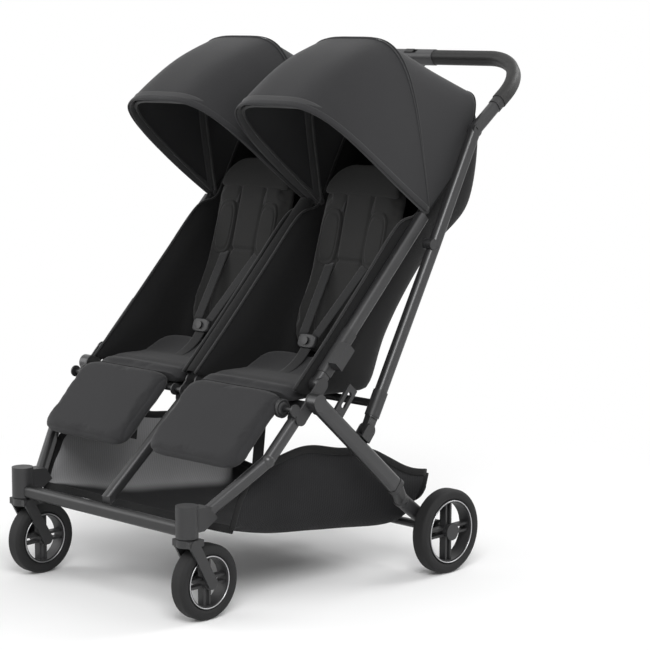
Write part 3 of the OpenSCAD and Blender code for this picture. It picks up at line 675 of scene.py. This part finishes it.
def puffed(obj, cap, voxel=0.005, pressure=4.0):
    """Swells a pad as stuffed cloth, with a limit on how far any point may move."""
    modify(obj, "REMESH", mode="VOXEL", voxel_size=voxel)
    before = points_of(obj)
    scene = bpy.context.scene
    cloth = obj.modifiers.new("cloth", "CLOTH")
    cloth.settings.use_pressure = True
    cloth.settings.uniform_pressure_force = pressure
    cloth.settings.effector_weights.gravity = 0
    cloth.settings.quality = 4
    cloth.collision_settings.use_collision = False
    for step in range(1, PUFF_FRAMES + 1):
        scene.frame_set(step)
    bake(obj)
    scene.frame_set(1)
    moved = points_of(obj) - before
    far = np.linalg.norm(moved, axis=1)[:, None]
    move_points(obj, before + moved * np.minimum(1, cap / np.maximum(far, 1e-9)))
    return modify(obj, "SUBSURF", levels=1)


def groove(obj, distance, width, depth):
    """Sews a channel: pushes points in where the distance from its line, in metres, is small."""
    pushed = points_of(obj) - normals_of(obj) * (depth * np.exp(-((distance / width) ** 2)))[:, None]
    move_points(obj, pushed)


def ripple(points, size, phase=0.0):
    """A small uneven offset that makes cloth less perfect."""
    x, y, z = (points * 1000).reshape(-1, 3).T
    wave = np.sin(x / 37 + y / 53 + phase) + np.sin(y / 29 - z / 41 + 2 * phase)
    wave = wave + 0.6 * np.sin((x + z) / 17 + phase)
    return (size * wave / 2.6).reshape(points.shape[:-1])


def dress(obj, body, slot, *nodes):
    """Says which body a piece rides on and hides the CAD nodes that it stands for; its slot is not used."""
    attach(obj, body)
    if nodes:
        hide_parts(*nodes)
    return obj


# Canopies. A line that holds one has its angle about the pivot, the lead of its feet in degrees,
# its reach in mm and its squareness
REAR_LINE = (57.0, -22.0, 283.0, 12.0)
MID_LINE = (100.0, 0.0, 352.0, 4.1)
FRONT_LINE = (144.6, 3.9, 374.0, 3.9)
REAR_SWELL, FRONT_SWELL = -0.008, 0.045
ARCH_ROOT_MM = 3.0
PANEL_ROWS = 30
PANEL_SLACK = 0.0016
RIDGE_DEGREES = (-0.7, 0.7)
RIDGE_OUT, RIDGE_WIDTH, RIDGE_THICK = -0.0008, 0.0036, 0.0024
BOW_TAPE_IN, BOW_TAPE_WIDTH, BOW_TAPE_THICK = 0.0038, 0.022, 0.0026


def canopy_span(side):
    """Middle and half width of one canopy, from the CAD cloth."""
    co = np.array([v.co.x for v in frame["nodes"]["canopies"].data.vertices])
    co = co[co > 0]
    return SIDES[side] * (co.min() + co.max()) / 2, (co.max() - co.min()) / 2


def arch(side, line, inset=0.0, ahead=0.0, steps=84):
    """Points of a canopy's line, from its foot at greater X to the other, some degrees ahead of its place."""
    angle, lead, reach, power = line
    centre, half = canopy_span(side)
    reach = reach * MM - inset
    start = math.asin((ARCH_ROOT_MM * MM / reach) ** (power / 2))
    turn = start + (math.pi - 2 * start) * (0.5 - 0.5 * np.cos(np.linspace(0, math.pi, steps)))
    c, s = np.cos(turn), np.sin(turn)
    x = centre + bulge(c, power) * (half - inset)
    r = reach * s ** (2 / power)
    a = np.radians(angle + ahead + lead * (1 - r / reach))
    return np.stack([x, CANOPY_PIVOT[0] + r * np.cos(a), CANOPY_PIVOT[1] + r * np.sin(a)], 1)


def taut_panel(first, last, swell, phase):
    """Cloth drawn between two lines, a little slack between them."""
    t = np.linspace(0, 1, PANEL_ROWS)[:, None, None]
    rows = (1 - t) * first + t * last
    slack = ripple(rows, PANEL_SLACK, phase)[:, :, None] / 0.3
    stretch = 1 + (swell - slack) * np.sin(math.pi * t)
    rows[:, :, 1:] = CANOPY_PIVOT + (rows[:, :, 1:] - CANOPY_PIVOT) * stretch
    return rows


def canopy_rows(side):
    """The whole cloth of a canopy: its rear panel, then its visor panel."""
    rear, mid, front = (arch(side, line) for line in (REAR_LINE, MID_LINE, FRONT_LINE))
    behind = taut_panel(rear, mid, REAR_SWELL, 0.7)
    visor = taut_panel(mid, front, FRONT_SWELL, 2.1)
    return np.concatenate([behind, visor[1:]])


def bend_with_visor(obj):
    """Bakes a canopy piece's place into its mesh."""
    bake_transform(obj)


class STROLLER_OT_canopies(bpy.types.Operator):
    """Both canopies: one curved sheet each, with a hemmed visor, a sewn ridge and bound bows."""

    bl_idname = "stroller.canopies"
    bl_label = "Canopies"

    def execute(self, context):
        s = sizes()
        for side in SIDES:
            rows = canopy_rows(side)
            cloth = cloth_sheet("canopy_" + side, rows, "canopy_cloth", s.cloth)
            wide = rows[-1] - rows[-3]
            hem = sweep("canopy_hem_" + side, rows[-2], wide, s.hem, s.piping, "canopy_cloth", 3.2)
            trims = [hem]
            for k, ahead in enumerate(RIDGE_DEGREES):
                line = arch(side, MID_LINE, RIDGE_OUT, ahead)
                wide = arch(side, MID_LINE, RIDGE_OUT, ahead + 1) - line
                name = f"canopy_ridge_{side}_{k}"
                trims.append(sweep(name, line, wide, RIDGE_WIDTH, RIDGE_THICK, "canopy_cloth", steps=8))
            wide = rows[1] - rows[0]
            trims.append(sweep("canopy_piping_" + side, rows[0], wide, s.piping, s.piping, "shell_cloth"))
            for obj in [cloth, *trims]:
                bend_with_visor(obj)
            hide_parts("canopies")
            declare_sheet(rows)
            for bow, line, ahead in (("front", FRONT_LINE, -2.2), ("mid", MID_LINE, 0.0)):
                path = arch(side, line, BOW_TAPE_IN, ahead)
                wide = arch(side, line, BOW_TAPE_IN, ahead + 1) - path
                name = f"bow_binding_{bow}_{side}"
                tape = sweep(name, path, wide, BOW_TAPE_WIDTH, BOW_TAPE_THICK, "binding_tape", 4.0)
                dress(tape, f"canopy_{bow}_{side}", "cloth")
        return {"FINISHED"}


# Seats and shells, as side-view points in mm from the front axle's depth and the floor

FRAME_ANGLE = 45.3
BACK_ANGLE, CAD_BACK_ANGLE = 75.0, 71.0
SHELL_FRONT = (
    (191, 427), (270, 504), (330, 565), (400, 637), (490, 728),
    (546, 746), (574, 785), (626, 880), (702, 992),
)
SHELL_BACK = (
    (240, 405), (390, 394), (436, 404), (478, 500), (560, 607),
    (640, 680), (738, 755), (761, 897), (717, 990),
)
SHELL_POWER = 7.0
SHELL_IN_MM, SHELL_OUT_MM = 4.5, 3.5
STRIP_FROM_MM, STRIP_TO_MM, STRIP_UP_MM, STRIP_CROWN_MM = -36, 436, 14, 15


def seat_span():
    """Inner and outer X of the left seat, in mm."""
    low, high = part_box("seat_base_left")
    return low.x / MM, high.x / MM


class STROLLER_OT_shells(bpy.types.Operator):
    """The cloth shell beside and behind each seat, and the strip that covers the middle tube."""

    bl_idname = "stroller.shells"
    bl_label = "Seat shells"

    def execute(self, context):
        s = sizes()
        inner, outer = seat_span()
        inner, outer = inner - SHELL_IN_MM, outer + SHELL_OUT_MM
        front, back = side_line(SHELL_FRONT, 70), side_line(SHELL_BACK, 70)
        across, deep = hollow(61, SHELL_POWER)
        for side, sign in SIDES.items():
            x = sign * MM * ((inner + outer) / 2 + across * (outer - inner) / 2)
            rows = []
            for f, b in zip(front, back):
                rows.append(np.stack([x, f[0] + deep * (b[0] - f[0]), f[1] + deep * (b[1] - f[1])], 1))
            rows = np.stack(rows)
            slack = ripple(rows, 0.0014, phase=1.9) * (deep > 0.9)
            rows[:, :, 1] -= slack
            shell = cloth_sheet("seat_shell_cloth_" + side, rows, "shell_cloth", s.cloth)
            dress(shell, "upper_frame", "cloth", "seat_shell_" + side)
            trims = []
            for edge, column in (("inner", -1), ("outer", 0)):
                name = f"shell_binding_{edge}_{side}"
                trims.append(sweep(name, rows[:, column], (1, 0, 0), 0.0065, 0.0045, "webbing"))
            for trim in trims:
                dress(trim, "upper_frame", "cloth")
            for obj in [shell, *trims]:
                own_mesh(obj)
            declare_sheet(rows)
        rows = []
        for run in np.linspace(STRIP_FROM_MM, STRIP_TO_MM, 40):
            foot = along(along(UPPER_PIVOT, FRAME_ANGLE, run), FRAME_ANGLE + 90, STRIP_UP_MM)
            row = []
            for t in np.linspace(0, math.pi, 25):
                crown = STRIP_CROWN_MM * math.sin(t) ** 0.7
                row.append((inner * MM * math.cos(t), *along(foot, FRAME_ANGLE + 90, crown)))
            rows.append(row)
        rows = np.array(rows)
        strip = cloth_sheet("middle_strip", rows, "shell_cloth", s.cloth)
        dress(strip, "upper_frame", "cloth", "divider_cover")
        declare_sheet(rows)
        return {"FINISHED"}


SEAT_LIP_MM, SEAT_RISE_MM = 15.0, 30.0
SEAT_RISE_FROM, SEAT_RISE_OVER = 0.06, 0.1
LIP_LIFT, LIP_FROM, LIP_OVER = 0.014, 0.004, 0.012
CREASE_FROM_FRONT = 0.03
BACK_SET_MM, BACK_SAG_MM, SAG_FROM_MM, SAG_RISE_MM = 55.0, 22.0, 60.0, 140.0
BACK_FOOT = RECLINE + np.array((BACK_SET_MM * MM, 0))
BACK_HALF_MM, HEAD_HALF_MM, HEAD_FROM_MM = 122.0, 106.0, 350.0
BACK_DOME_MM, HEAD_DOME_MM, HEAD_LEN_MM = 74, 70, 67
# Seams of a backrest, as mm from its middle line and up its slope
BACK_SEAMS = (
    ((38, 352), (38, 300), (36, 213)),
    ((0, 213), (36, 213)),
    ((36, 205), (50, 160), (54, 110), (44, 60)),
)


def smooth_step(t):
    t = np.clip(t, 0, 1)
    return t * t * (3 - 2 * t)


def back_place(x, y, z):
    """A backrest's own mm (x, up its slope, above it) to the frame; higher up it sinks into the shell."""
    sag = BACK_SAG_MM * smooth_step((np.asarray(y, float) - SAG_FROM_MM) / SAG_RISE_MM)
    return plane_at(BACK_FOOT, BACK_ANGLE)(x, y, z - sag)


def back_local(obj):
    """How far each point lies up a backrest and above its sunken face, in metres."""
    a = math.radians(BACK_ANGLE)
    local = points_of(obj)[:, 1:] - BACK_FOOT
    tall = local @ np.array((math.cos(a), math.sin(a)))
    sag = BACK_SAG_MM * MM * smooth_step((tall / MM - SAG_FROM_MM) / SAG_RISE_MM)
    return tall, local @ np.array((-math.sin(a), math.cos(a))) + sag


def lean(obj, side):
    """Gives a piece of the back a mesh of its own."""
    "recline_" + side
    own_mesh(obj)


def domed(centre, start, rise):
    """A backrest's place with its sides drawn in to a dome above a height in mm."""

    def place(x, y, z):
        up = np.clip((np.asarray(y, float) - start) / rise, 0, 0.999)
        return back_place(centre + (x - centre) * np.sqrt(1 - up**2), y, z)

    return place


def seam_distance(points, stops):
    """Distance in metres from flat points in mm to a rounded seam through a few stops."""
    seam = smooth_path(stops, 60)
    return np.min([np.linalg.norm(points - p, axis=1) for p in seam], axis=0) * MM


def settle(obj, floor):
    """Rests a pad flat on what carries it."""
    points = points_of(obj)
    points[:, 2] = np.maximum(points[:, 2], floor)
    move_points(obj, points)


class STROLLER_OT_seats(bpy.types.Operator):
    """The padded seats and backrests with their sewn channels."""

    bl_idname = "stroller.seats"
    bl_label = "Seats and backrests"

    def execute(self, context):
        s = sizes()
        low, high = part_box("seat_base_left")
        flat = plane_at((0, 0), 0)
        swell = s.puff / MM * 0.5
        seat = pad(
            "seat_pad_left", flat, (low.x / MM - 1, high.x / MM + 1),
            (low.y / MM - SEAT_LIP_MM, high.y / MM + BACK_SET_MM - 6),
            (low.z / MM + 1, high.z / MM - swell), "canopy_cloth", crown=0.2, corner=9.0, waist=0.0,
        )
        puffed(seat, s.puff)
        points = points_of(seat)
        top = smooth_step((points[:, 2] - low.z) / (high.z - low.z))
        rise = smooth_step((points[:, 1] - high.y + SEAT_RISE_FROM) / SEAT_RISE_OVER)
        points[:, 2] += SEAT_RISE_MM * MM * rise * top
        lip = smooth_step((low.y + LIP_FROM - points[:, 1]) / LIP_OVER)
        points[:, 2] += LIP_LIFT * lip * (1 - top)
        move_points(seat, points)
        groove(seat, np.abs(points[:, 1] - low.y - CREASE_FROM_FRONT) + 1 - top, 0.012, 0.003)
        settle(seat, low.z + 0.0005)
        inner, outer = seat_span()
        centre = (inner + outer) / 2
        back = pad(
            "back_pad_left", domed(centre, HEAD_FROM_MM, BACK_DOME_MM),
            (centre - BACK_HALF_MM, centre + BACK_HALF_MM), (4, 415), (-11, 9),
            "pad_cloth", crown=0.25, corner=5.0,
        )
        puffed(back, s.puff)
        tall, above = back_local(back)
        wide = np.abs(points_of(back)[:, 0] - centre * MM)
        flat_view = np.stack([wide, tall], 1) / MM
        behind = np.where(above > -0.004, 0, 1)
        for seam in BACK_SEAMS:
            groove(back, seam_distance(flat_view, seam) + behind, 0.0045, 0.0045)
        flap = pad(
            "head_flap_left", domed(centre, HEAD_FROM_MM, HEAD_DOME_MM),
            (centre - HEAD_HALF_MM, centre + HEAD_HALF_MM),
            (HEAD_FROM_MM, HEAD_FROM_MM + HEAD_LEN_MM), (5, 17),
            "pad_cloth", crown=0.3, corner=14.0, waist=0.0, steps=40,
        )
        modify(flap, "SUBSURF", levels=1)
        for side, made in both_sides(seat):
            dress(made, "rear_frame", "liner", "seat_base_" + side)
        for obj in (back, flap):
            for side, made in both_sides(obj):
                dress(made, "backrest_" + side, "liner", "backrest_" + side)
                lean(made, side)
        return {"FINISHED"}


# Harnesses, leg rests and basket

PAD_X_MM, PAD_HALF_MM, PAD_FROM_MM, PAD_TO_MM = 64.0, 27.0, 196.0, 322.0
BUCKLE_FROM_MM, BUCKLE_TO_MM, BUCKLE_HALF_MM, BUCKLE_T_MM = 28.0, 62.0, 27.0, 14.0
BACK_FACE_MM = 12.0
PAD_POWER, PAD_SEAM = 3.4, 0.82
CROTCH_WIDTH, WEB_THICK, CROTCH_THICK = 0.028, 0.0022, 0.003


class STROLLER_OT_harnesses(bpy.types.Operator):
    """Shoulder pads, webbing, buckles and crotch straps."""

    bl_idname = "stroller.harnesses"
    bl_label = "Harnesses"

    def execute(self, context):
        s = sizes()
        place = back_place
        low_place = plane_at(RECLINE, CAD_BACK_ANGLE)
        inner, outer = seat_span()
        centre = (inner + outer) / 2
        made = []
        for k, sign in enumerate((-1, 1)):
            x = centre + sign * PAD_X_MM
            soft = pad(
                f"shoulder_pad_left_{k}", place, (x - PAD_HALF_MM, x + PAD_HALF_MM), (PAD_FROM_MM, PAD_TO_MM),
                (BACK_FACE_MM - 6, BACK_FACE_MM + 9),
                "pad_cloth", crown=0.2, corner=PAD_POWER, waist=0.0, steps=36,
            )
            modify(soft, "SUBSURF", levels=1)
            tall, _ = back_local(soft)
            a = (points_of(soft)[:, 0] / MM - x) / PAD_HALF_MM
            b = (2 * tall / MM - PAD_FROM_MM - PAD_TO_MM) / (PAD_TO_MM - PAD_FROM_MM)
            ring = (np.abs(a) ** PAD_POWER + np.abs(b) ** PAD_POWER) ** (1 / PAD_POWER)
            groove(soft, np.abs(ring - PAD_SEAM) * PAD_HALF_MM * MM, 0.0018, 0.0022)
            made.append((soft, "padded"))
            hip = centre + sign * BUCKLE_HALF_MM * 0.66
            top = x - sign * 14
            start = low_place(hip, BUCKLE_TO_MM - 4, BACK_FACE_MM + 5)
            end = place(top, PAD_FROM_MM + 8, BACK_FACE_MM + 3)
            lower = [(1 - t) * start + t * end for t in np.linspace(0, 1, 18)]
            upper = [
                place(top, PAD_TO_MM - 8 + 42 * t, BACK_FACE_MM + 2 - 8 * t**2) for t in np.linspace(0, 1, 10)
            ]
            for part, path in (("lower", lower), ("upper", upper)):
                name = f"webbing_{part}_left_{k}"
                made.append((sweep(name, path, (1, 0, 0), s.web, WEB_THICK, "webbing", 5.0), "web"))
        body = pad(
            "buckle_left", low_place,
            (centre - BUCKLE_HALF_MM, centre + BUCKLE_HALF_MM), (BUCKLE_FROM_MM, BUCKLE_TO_MM),
            (BACK_FACE_MM, BACK_FACE_MM + BUCKLE_T_MM - 2),
            "charcoal_plastic", crown=0.12, corner=3.0, waist=2.0, steps=30,
        )
        modify(body, "SUBSURF", levels=1)
        made.append((body, "hard"))
        for obj, kind in made:
            for side, one in both_sides(obj):
                slot = "black_plastic" if kind == "hard" else "webbing"
                dress(one, "backrest_" + side, slot, "harness_" + side)
                if kind != "hard":
                    lean(one, side)
                kind == "padded"
        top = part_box("seat_base_left")[1].z
        end = low_place(0, BUCKLE_FROM_MM + 6, BACK_FACE_MM + 5)[1:]
        stops = [
            (end[0] - 0.085, top - 0.002),
            (end[0] - 0.05, top + 0.008),
            (end[0] - 0.02, end[1] - 0.022),
            end,
        ]
        for side, sign in SIDES.items():
            path = [(sign * centre * MM, y, z) for y, z in smooth_path(stops, 16)]
            strap = sweep("crotch_strap_" + side, path, (1, 0, 0), CROTCH_WIDTH, CROTCH_THICK, "webbing", 5.0)
            dress(strap, "rear_frame", "webbing", "crotch_straps")
            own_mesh(strap)
        return {"FINISHED"}


REST_SLOPE = math.degrees(math.atan2(203 - 376, 0 - 182))
REST_FACE_MM, REST_BACK_MM, REST_FROM_MM, REST_LEN_MM = -22.0, 4.0, -31, 166.0
# Half section of a leg rest's knob, as mm along its axis and from it
KNOB_PROFILE = (
    (-6, 10), (-6, 18.6), (1.5, 19), (3, 18), (3.4, 15.5),
    (2.2, 14.2), (2.2, 12.6), (3.8, 11.6), (4, 6), (4, 2),
)


class STROLLER_OT_leg_rests(bpy.types.Operator):
    """Padded leg rests with their round adjusters."""

    bl_idname = "stroller.leg_rests"
    bl_label = "Leg rests"

    def execute(self, context):
        s = sizes()
        place = plane_at(REST_AXIS, REST_SLOPE)
        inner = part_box("leg_rest_left")[0].x / MM
        _, outer = seat_span()
        rest = pad(
            "leg_rest_pad_left", place, (inner - 9, outer + 4), (REST_FROM_MM, REST_LEN_MM),
            (REST_BACK_MM - 1, REST_FACE_MM - 4), "canopy_cloth", crown=0.2, corner=7.0, waist=0.0,
        )
        puffed(rest, s.puff * 0.7)
        a = math.radians(REST_SLOPE)
        local = points_of(rest)[:, 1:] - REST_AXIS
        tall = local @ np.array((math.cos(a), math.sin(a)))
        above = local @ np.array((-math.sin(a), math.cos(a)))
        x = points_of(rest)[:, 0]
        rim = np.minimum(np.abs(x - (inner + 5) * MM), np.abs(x - (outer - 11) * MM))
        rim = np.minimum(rim, np.abs(tall - (REST_LEN_MM - 11) * MM))
        groove(rest, rim + np.where(above < -0.008, 0, 1), 0.0022, 0.0018)
        knob_at = (outer * MM, *REST_AXIS)
        profile = [mm(*point) for point in KNOB_PROFILE]
        knob = lathe("leg_rest_knob_left", profile, knob_at, "charcoal_plastic")
        for side, one in both_sides(rest):
            dress(one, "leg_rest_" + side, "cloth", "leg_rest_" + side)
        for side, one in both_sides(knob):
            dress(one, "leg_rest_" + side, "plastic", "leg_rest_" + side)
        return {"FINISHED"}


BASKET_TOP = ((40, 173), (70, 232), (124, 290), (352, 286), (480, 240), (601, 199))
BASKET_LOW = ((46, 170), (130, 141), (226, 119), (400, 99), (540, 85), (579, 136))
BASKET_POWER = 6.0
LOOP_X_MM = 190.0
LOOP_FOOT, LOOP_MIDDLE = (200, 262), (208, 330)


class STROLLER_OT_basket(bpy.types.Operator):
    """The net basket that hangs below the seats, its bound rim and its loops."""

    bl_idname = "stroller.basket"
    bl_label = "Basket"

    def execute(self, context):
        s = sizes()
        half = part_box("basket")[1].x
        top, low = side_line(BASKET_TOP, 60), side_line(BASKET_LOW, 60)
        x, deep = hollow(65, BASKET_POWER)
        rows = []
        for t, b, k in zip(top, low, np.linspace(0, 1, len(top))):
            drop = s.sag * math.sin(math.pi * k) * (1 - x**2) * deep * 0.6
            side_in = 1 - 0.05 * deep * math.sin(math.pi * k)
            rim = 0.006 * math.sin(6 * math.pi * k) * (1 - deep)
            back = t[0] + deep * (b[0] - t[0])
            high = t[1] + deep * (b[1] - t[1]) - drop + rim
            rows.append(np.stack([x * half * side_in, back, high], 1))
        rows = np.array(rows)
        rows[:, :, 2] += ripple(rows, 0.0015, phase=0.3) * np.minimum(1, 4 * deep)
        net_cloth = cloth_sheet("basket_net", rows, "basket_net", 0.0018)
        dress(net_cloth, "rear_frame", "mesh", "basket")
        trims = []
        edges = {"left": rows[:, 0], "right": rows[:, -1], "front": rows[0], "rear": rows[-1]}
        for name, line in edges.items():
            wide = (0, 0, 1) if name in SIDES else (0, 0.3, 1)
            trims.append(sweep("basket_rim_" + name, line, wide, 0.016, 0.0045, "shell_cloth", 3.0))
        hub = middle("hub_cross_tube")
        radius = (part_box("hub_cross_tube")[1].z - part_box("hub_cross_tube")[0].z) / 2 + 0.002
        over_tube = (
            (hub.y - radius, hub.z),
            (hub.y - radius * 0.7, hub.z + radius * 0.7),
            (hub.y, hub.z + radius),
            (hub.y + radius * 0.7, hub.z + radius * 0.7),
        )
        for side, sign in SIDES.items():
            stops = (side_view(*LOOP_FOOT), side_view(*LOOP_MIDDLE), *over_tube)
            path = smooth_path([(sign * LOOP_X_MM * MM, *point) for point in stops], 30)
            trims.append(sweep("basket_loop_" + side, path, (1, 0, 0), 0.03, 0.0024, "webbing", 5.0))
        for trim in trims:
            dress(trim, "rear_frame", "webbing")
        for obj in [net_cloth, *trims]:
            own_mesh(obj)
        declare_sheet(rows)
        return {"FINISHED"}


# Hard parts and stage

NODE_FINISH = {
    "tube_paint": (
        "rear_legs", "rear_axle_tube", "front_leg_left", "front_leg_right", "front_strut", "upper_side_tubes",
        "upper_tube_center", "links", "handle_tubes",
    ),
    "charcoal_plastic": (
        "hub_brackets", "axle_brackets", "link_clevises", "fold_strike", "caster_housings",
        "caster_fork_left", "caster_fork_right", "front_rim_left", "front_rim_right", "rear_rim_left",
        "rear_rim_right", "upper_sleeves", "fold_catch", "canopy_posts", "link_collars", "handle_collars",
    ),
    "black_plastic": (
        "hub_cross_tube", "leg_rest_rod", "recline_rods", "front_crossbar", "lock_cross_tube", "brake_pedal",
        "fold_slider", "fold_trigger", "buckle_button_left", "buckle_button_right",
    ),
    "bare_steel": ("frame_pins",),
    "binding_tape": (
        "canopy_mid_bow_left", "canopy_mid_bow_right", "canopy_front_bow_left", "canopy_front_bow_right",
    ),
    "tyre_rubber": ("front_tyre_left", "front_tyre_right", "rear_tyre_left", "rear_tyre_right"),
    "bar_leather": ("handle_grips",),
    "grey_plastic": ("fold_housing",),
}


SHARP_ANGLE = math.radians(34)


class STROLLER_OT_finishes(bpy.types.Operator):
    """Makes every finish and puts the hard ones on the frame's own parts."""

    bl_idname = "stroller.finishes"
    bl_label = "Finishes"

    def execute(self, context):
        make_finishes()
        for name, nodes in NODE_FINISH.items():
            for node in nodes:
                mesh = frame["nodes"][node].data
                mesh.materials.clear()
                mesh.materials.append(finish(name))
                mesh.shade_smooth()
                mesh.set_sharp_from_angle(angle=SHARP_ANGLE)
        return {"FINISHED"}


RING_IN, RING_THICK, RING_FACE = 0.0015, 0.0024, 0.8


class STROLLER_OT_wheels(bpy.types.Operator):
    """Bright rings on both faces of each wheel."""

    bl_idname = "stroller.wheels"
    bl_label = "Wheel trims"

    def execute(self, context):
        for end in ("front", "rear"):
            for side in SIDES:
                low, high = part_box(f"{end}_rim_{side}")
                centre = (low + high) / 2
                radius = (high.z - low.z) / 2 - RING_IN
                body = f"{end}_wheel_{side}"
                for face in (-1, 1):
                    x = centre.x + face * (high.x - low.x) / 2 * RING_FACE
                    path = []
                    for t in np.linspace(0, 2 * math.pi, 96, endpoint=False):
                        path.append((x, centre.y + radius * math.cos(t), centre.z + radius * math.sin(t)))
                    name = f"{end}_ring_{side}_{face + 1}"
                    ring = sweep(name, path, (1, 0, 0), RING_THICK, RING_THICK, "bare_steel", closed=True)
                    dress(facing_out(ring), body, "steel")
        return {"FINISHED"}


CAMERA_AZIMUTH, CAMERA_ELEVATION, CAMERA_ROLL = 44.005, 8.223, 0.143
CAMERA_AT_MM = (3137.7, -2659.3, 1136.0)
FOCAL_PX, IMAGE_PX, SENSOR_MM = 2106.86, 650, 36.0
WHITE = (1, 1, 1, 1)
WHITE_FROM_TO = (0.55, 1.5)
FLOOR_HALF, WORLD_LIGHT = 12.0, 0.55
LAMPS = (
    ("key", (2.6, -2.4, 3.2), 2.4, 120),
    ("fill", (-3.0, -2.2, 1.8), 2.6, 45),
    ("rear", (1.0, 3.0, 2.8), 2.2, 60),
)
LAMP_TARGET = Vector((0, 0, 0.55))


class STROLLER_OT_stage(bpy.types.Operator):
    """Floor, soft studio light and a camera at the photograph's angle."""

    bl_idname = "stroller.stage"
    bl_label = "Stage"

    def execute(self, context):
        scene = context.scene
        scene.view_settings.view_transform = "Standard"
        self.floor()
        self.world(scene)
        self.lamps(scene)
        self.camera(scene)
        return {"FINISHED"}

    def floor(self):
        half = FLOOR_HALF
        f = Finish("studio_floor")
        pale = f.tint(f.noise(3.0, 3), (0.93, 0.93, 0.93), (0.97, 0.97, 0.97))
        f.set(Base_Color=pale, Roughness=0.9, Specular_IOR_Level=0.1)
        away = f.node("ShaderNodeVectorMath", {"operation": "LENGTH"}, f.place(), output="Value")
        far = f.ramp(away, *WHITE_FROM_TO)
        seen = f.node("ShaderNodeLightPath", output="Is Camera Ray")
        glow = f.node("ShaderNodeEmission", None, WHITE, 1.0)
        f.join(
            f.node("ShaderNodeMixShader", None, far * seen, Value(f, f.shader.outputs[0]), glow),
            f.tree.nodes["Material Output"].inputs[0],
        )
        corners = [(-half, -half, 0), (half, -half, 0), (half, half, 0), (-half, half, 0)]
        piece("studio_floor", corners, [(0, 1, 2, 3)], "studio_floor")

    def world(self, scene):
        world = bpy.data.worlds.new("studio")
        scene.world = world
        world.use_nodes = True
        w = Nodes(world.node_tree)
        soft = w.tree.nodes["Background"]
        w.join(WHITE, soft.inputs["Color"])
        w.join(WORLD_LIGHT, soft.inputs["Strength"])
        straight = w.node("ShaderNodeLightPath", output="Is Camera Ray")
        glossy = w.node("ShaderNodeLightPath", output="Is Glossy Ray")
        seen = w.node("ShaderNodeMath", {"operation": "MAXIMUM"}, straight, glossy)
        plain = w.node("ShaderNodeBackground", None, WHITE, 1.0)
        both = w.node("ShaderNodeMixShader", None, seen, Value(w, soft.outputs[0]), plain)
        w.join(both, w.tree.nodes["World Output"].inputs[0])

    def lamps(self, scene):
        for name, at, size, power in LAMPS:
            lamp = bpy.data.lights.new(name, "AREA")
            lamp.shape = "DISK"
            lamp.size = size
            lamp.energy = power
            made = bpy.data.objects.new(name, lamp)
            made.location = at
            made.rotation_euler = (LAMP_TARGET - Vector(at)).to_track_quat("-Z", "Y").to_euler()
            scene.collection.objects.link(made)

    def camera(self, scene):
        a, e, roll = (math.radians(v) for v in (CAMERA_AZIMUTH, CAMERA_ELEVATION, CAMERA_ROLL))
        ahead = Vector((-math.sin(a) * math.cos(e), math.cos(a) * math.cos(e), -math.sin(e)))
        right = ahead.cross(Vector((0, 0, 1))).normalized()
        up = right.cross(ahead)
        level = right * math.cos(roll) + up * math.sin(roll)
        tall = up * math.cos(roll) - right * math.sin(roll)
        data = bpy.data.cameras.new("photo")
        data.sensor_width = SENSOR_MM
        data.lens = FOCAL_PX / IMAGE_PX * SENSOR_MM
        data.clip_end = 60
        made = bpy.data.objects.new("photo", data)
        x, y, z = CAMERA_AT_MM
        spot = Vector((x * MM, AXLE_Y + y * MM, z * MM))
        turn = Matrix((level, tall, -ahead)).transposed().to_4x4()
        made.matrix_world = Matrix.Translation(spot) @ turn
        scene.collection.objects.link(made)
        scene.camera = made


class STROLLER_PT_dressing(bpy.types.Panel):
    """Lists the settings and the steps that dress the stroller."""

    bl_idname = "STROLLER_PT_dressing"
    bl_label = "Stroller"
    bl_space_type = "VIEW_3D"
    bl_region_type = "UI"
    bl_category = "Stroller"

    def draw(self, context):
        for group in (context.scene.stroller_sizes, context.scene.stroller_colours):
            for key in group.__annotations__:
                self.layout.prop(group, key)
        for step in STEPS:
            self.layout.operator(step.bl_idname)


STEPS = (
    STROLLER_OT_finishes,
    STROLLER_OT_stage,
    STROLLER_OT_canopies,
    STROLLER_OT_shells,
    STROLLER_OT_seats,
    STROLLER_OT_harnesses,
    STROLLER_OT_leg_rests,
    STROLLER_OT_basket,
    STROLLER_OT_wheels,
)
CLASSES = (StrollerSizes, StrollerColours, *STEPS, STROLLER_PT_dressing)


def register():
    for cls in CLASSES:
        bpy.utils.register_class(cls)
    bpy.types.Scene.stroller_sizes = PointerProperty(type=StrollerSizes)
    bpy.types.Scene.stroller_colours = PointerProperty(type=StrollerColours)


def unregister():
    del bpy.types.Scene.stroller_colours
    del bpy.types.Scene.stroller_sizes
    for cls in reversed(CLASSES):
        bpy.utils.unregister_class(cls)


def main():
    register()
    for step in STEPS:
        group, name = step.bl_idname.split(".")
        getattr(getattr(bpy.ops, group), name)()


if __name__ == "__main__":
    main()
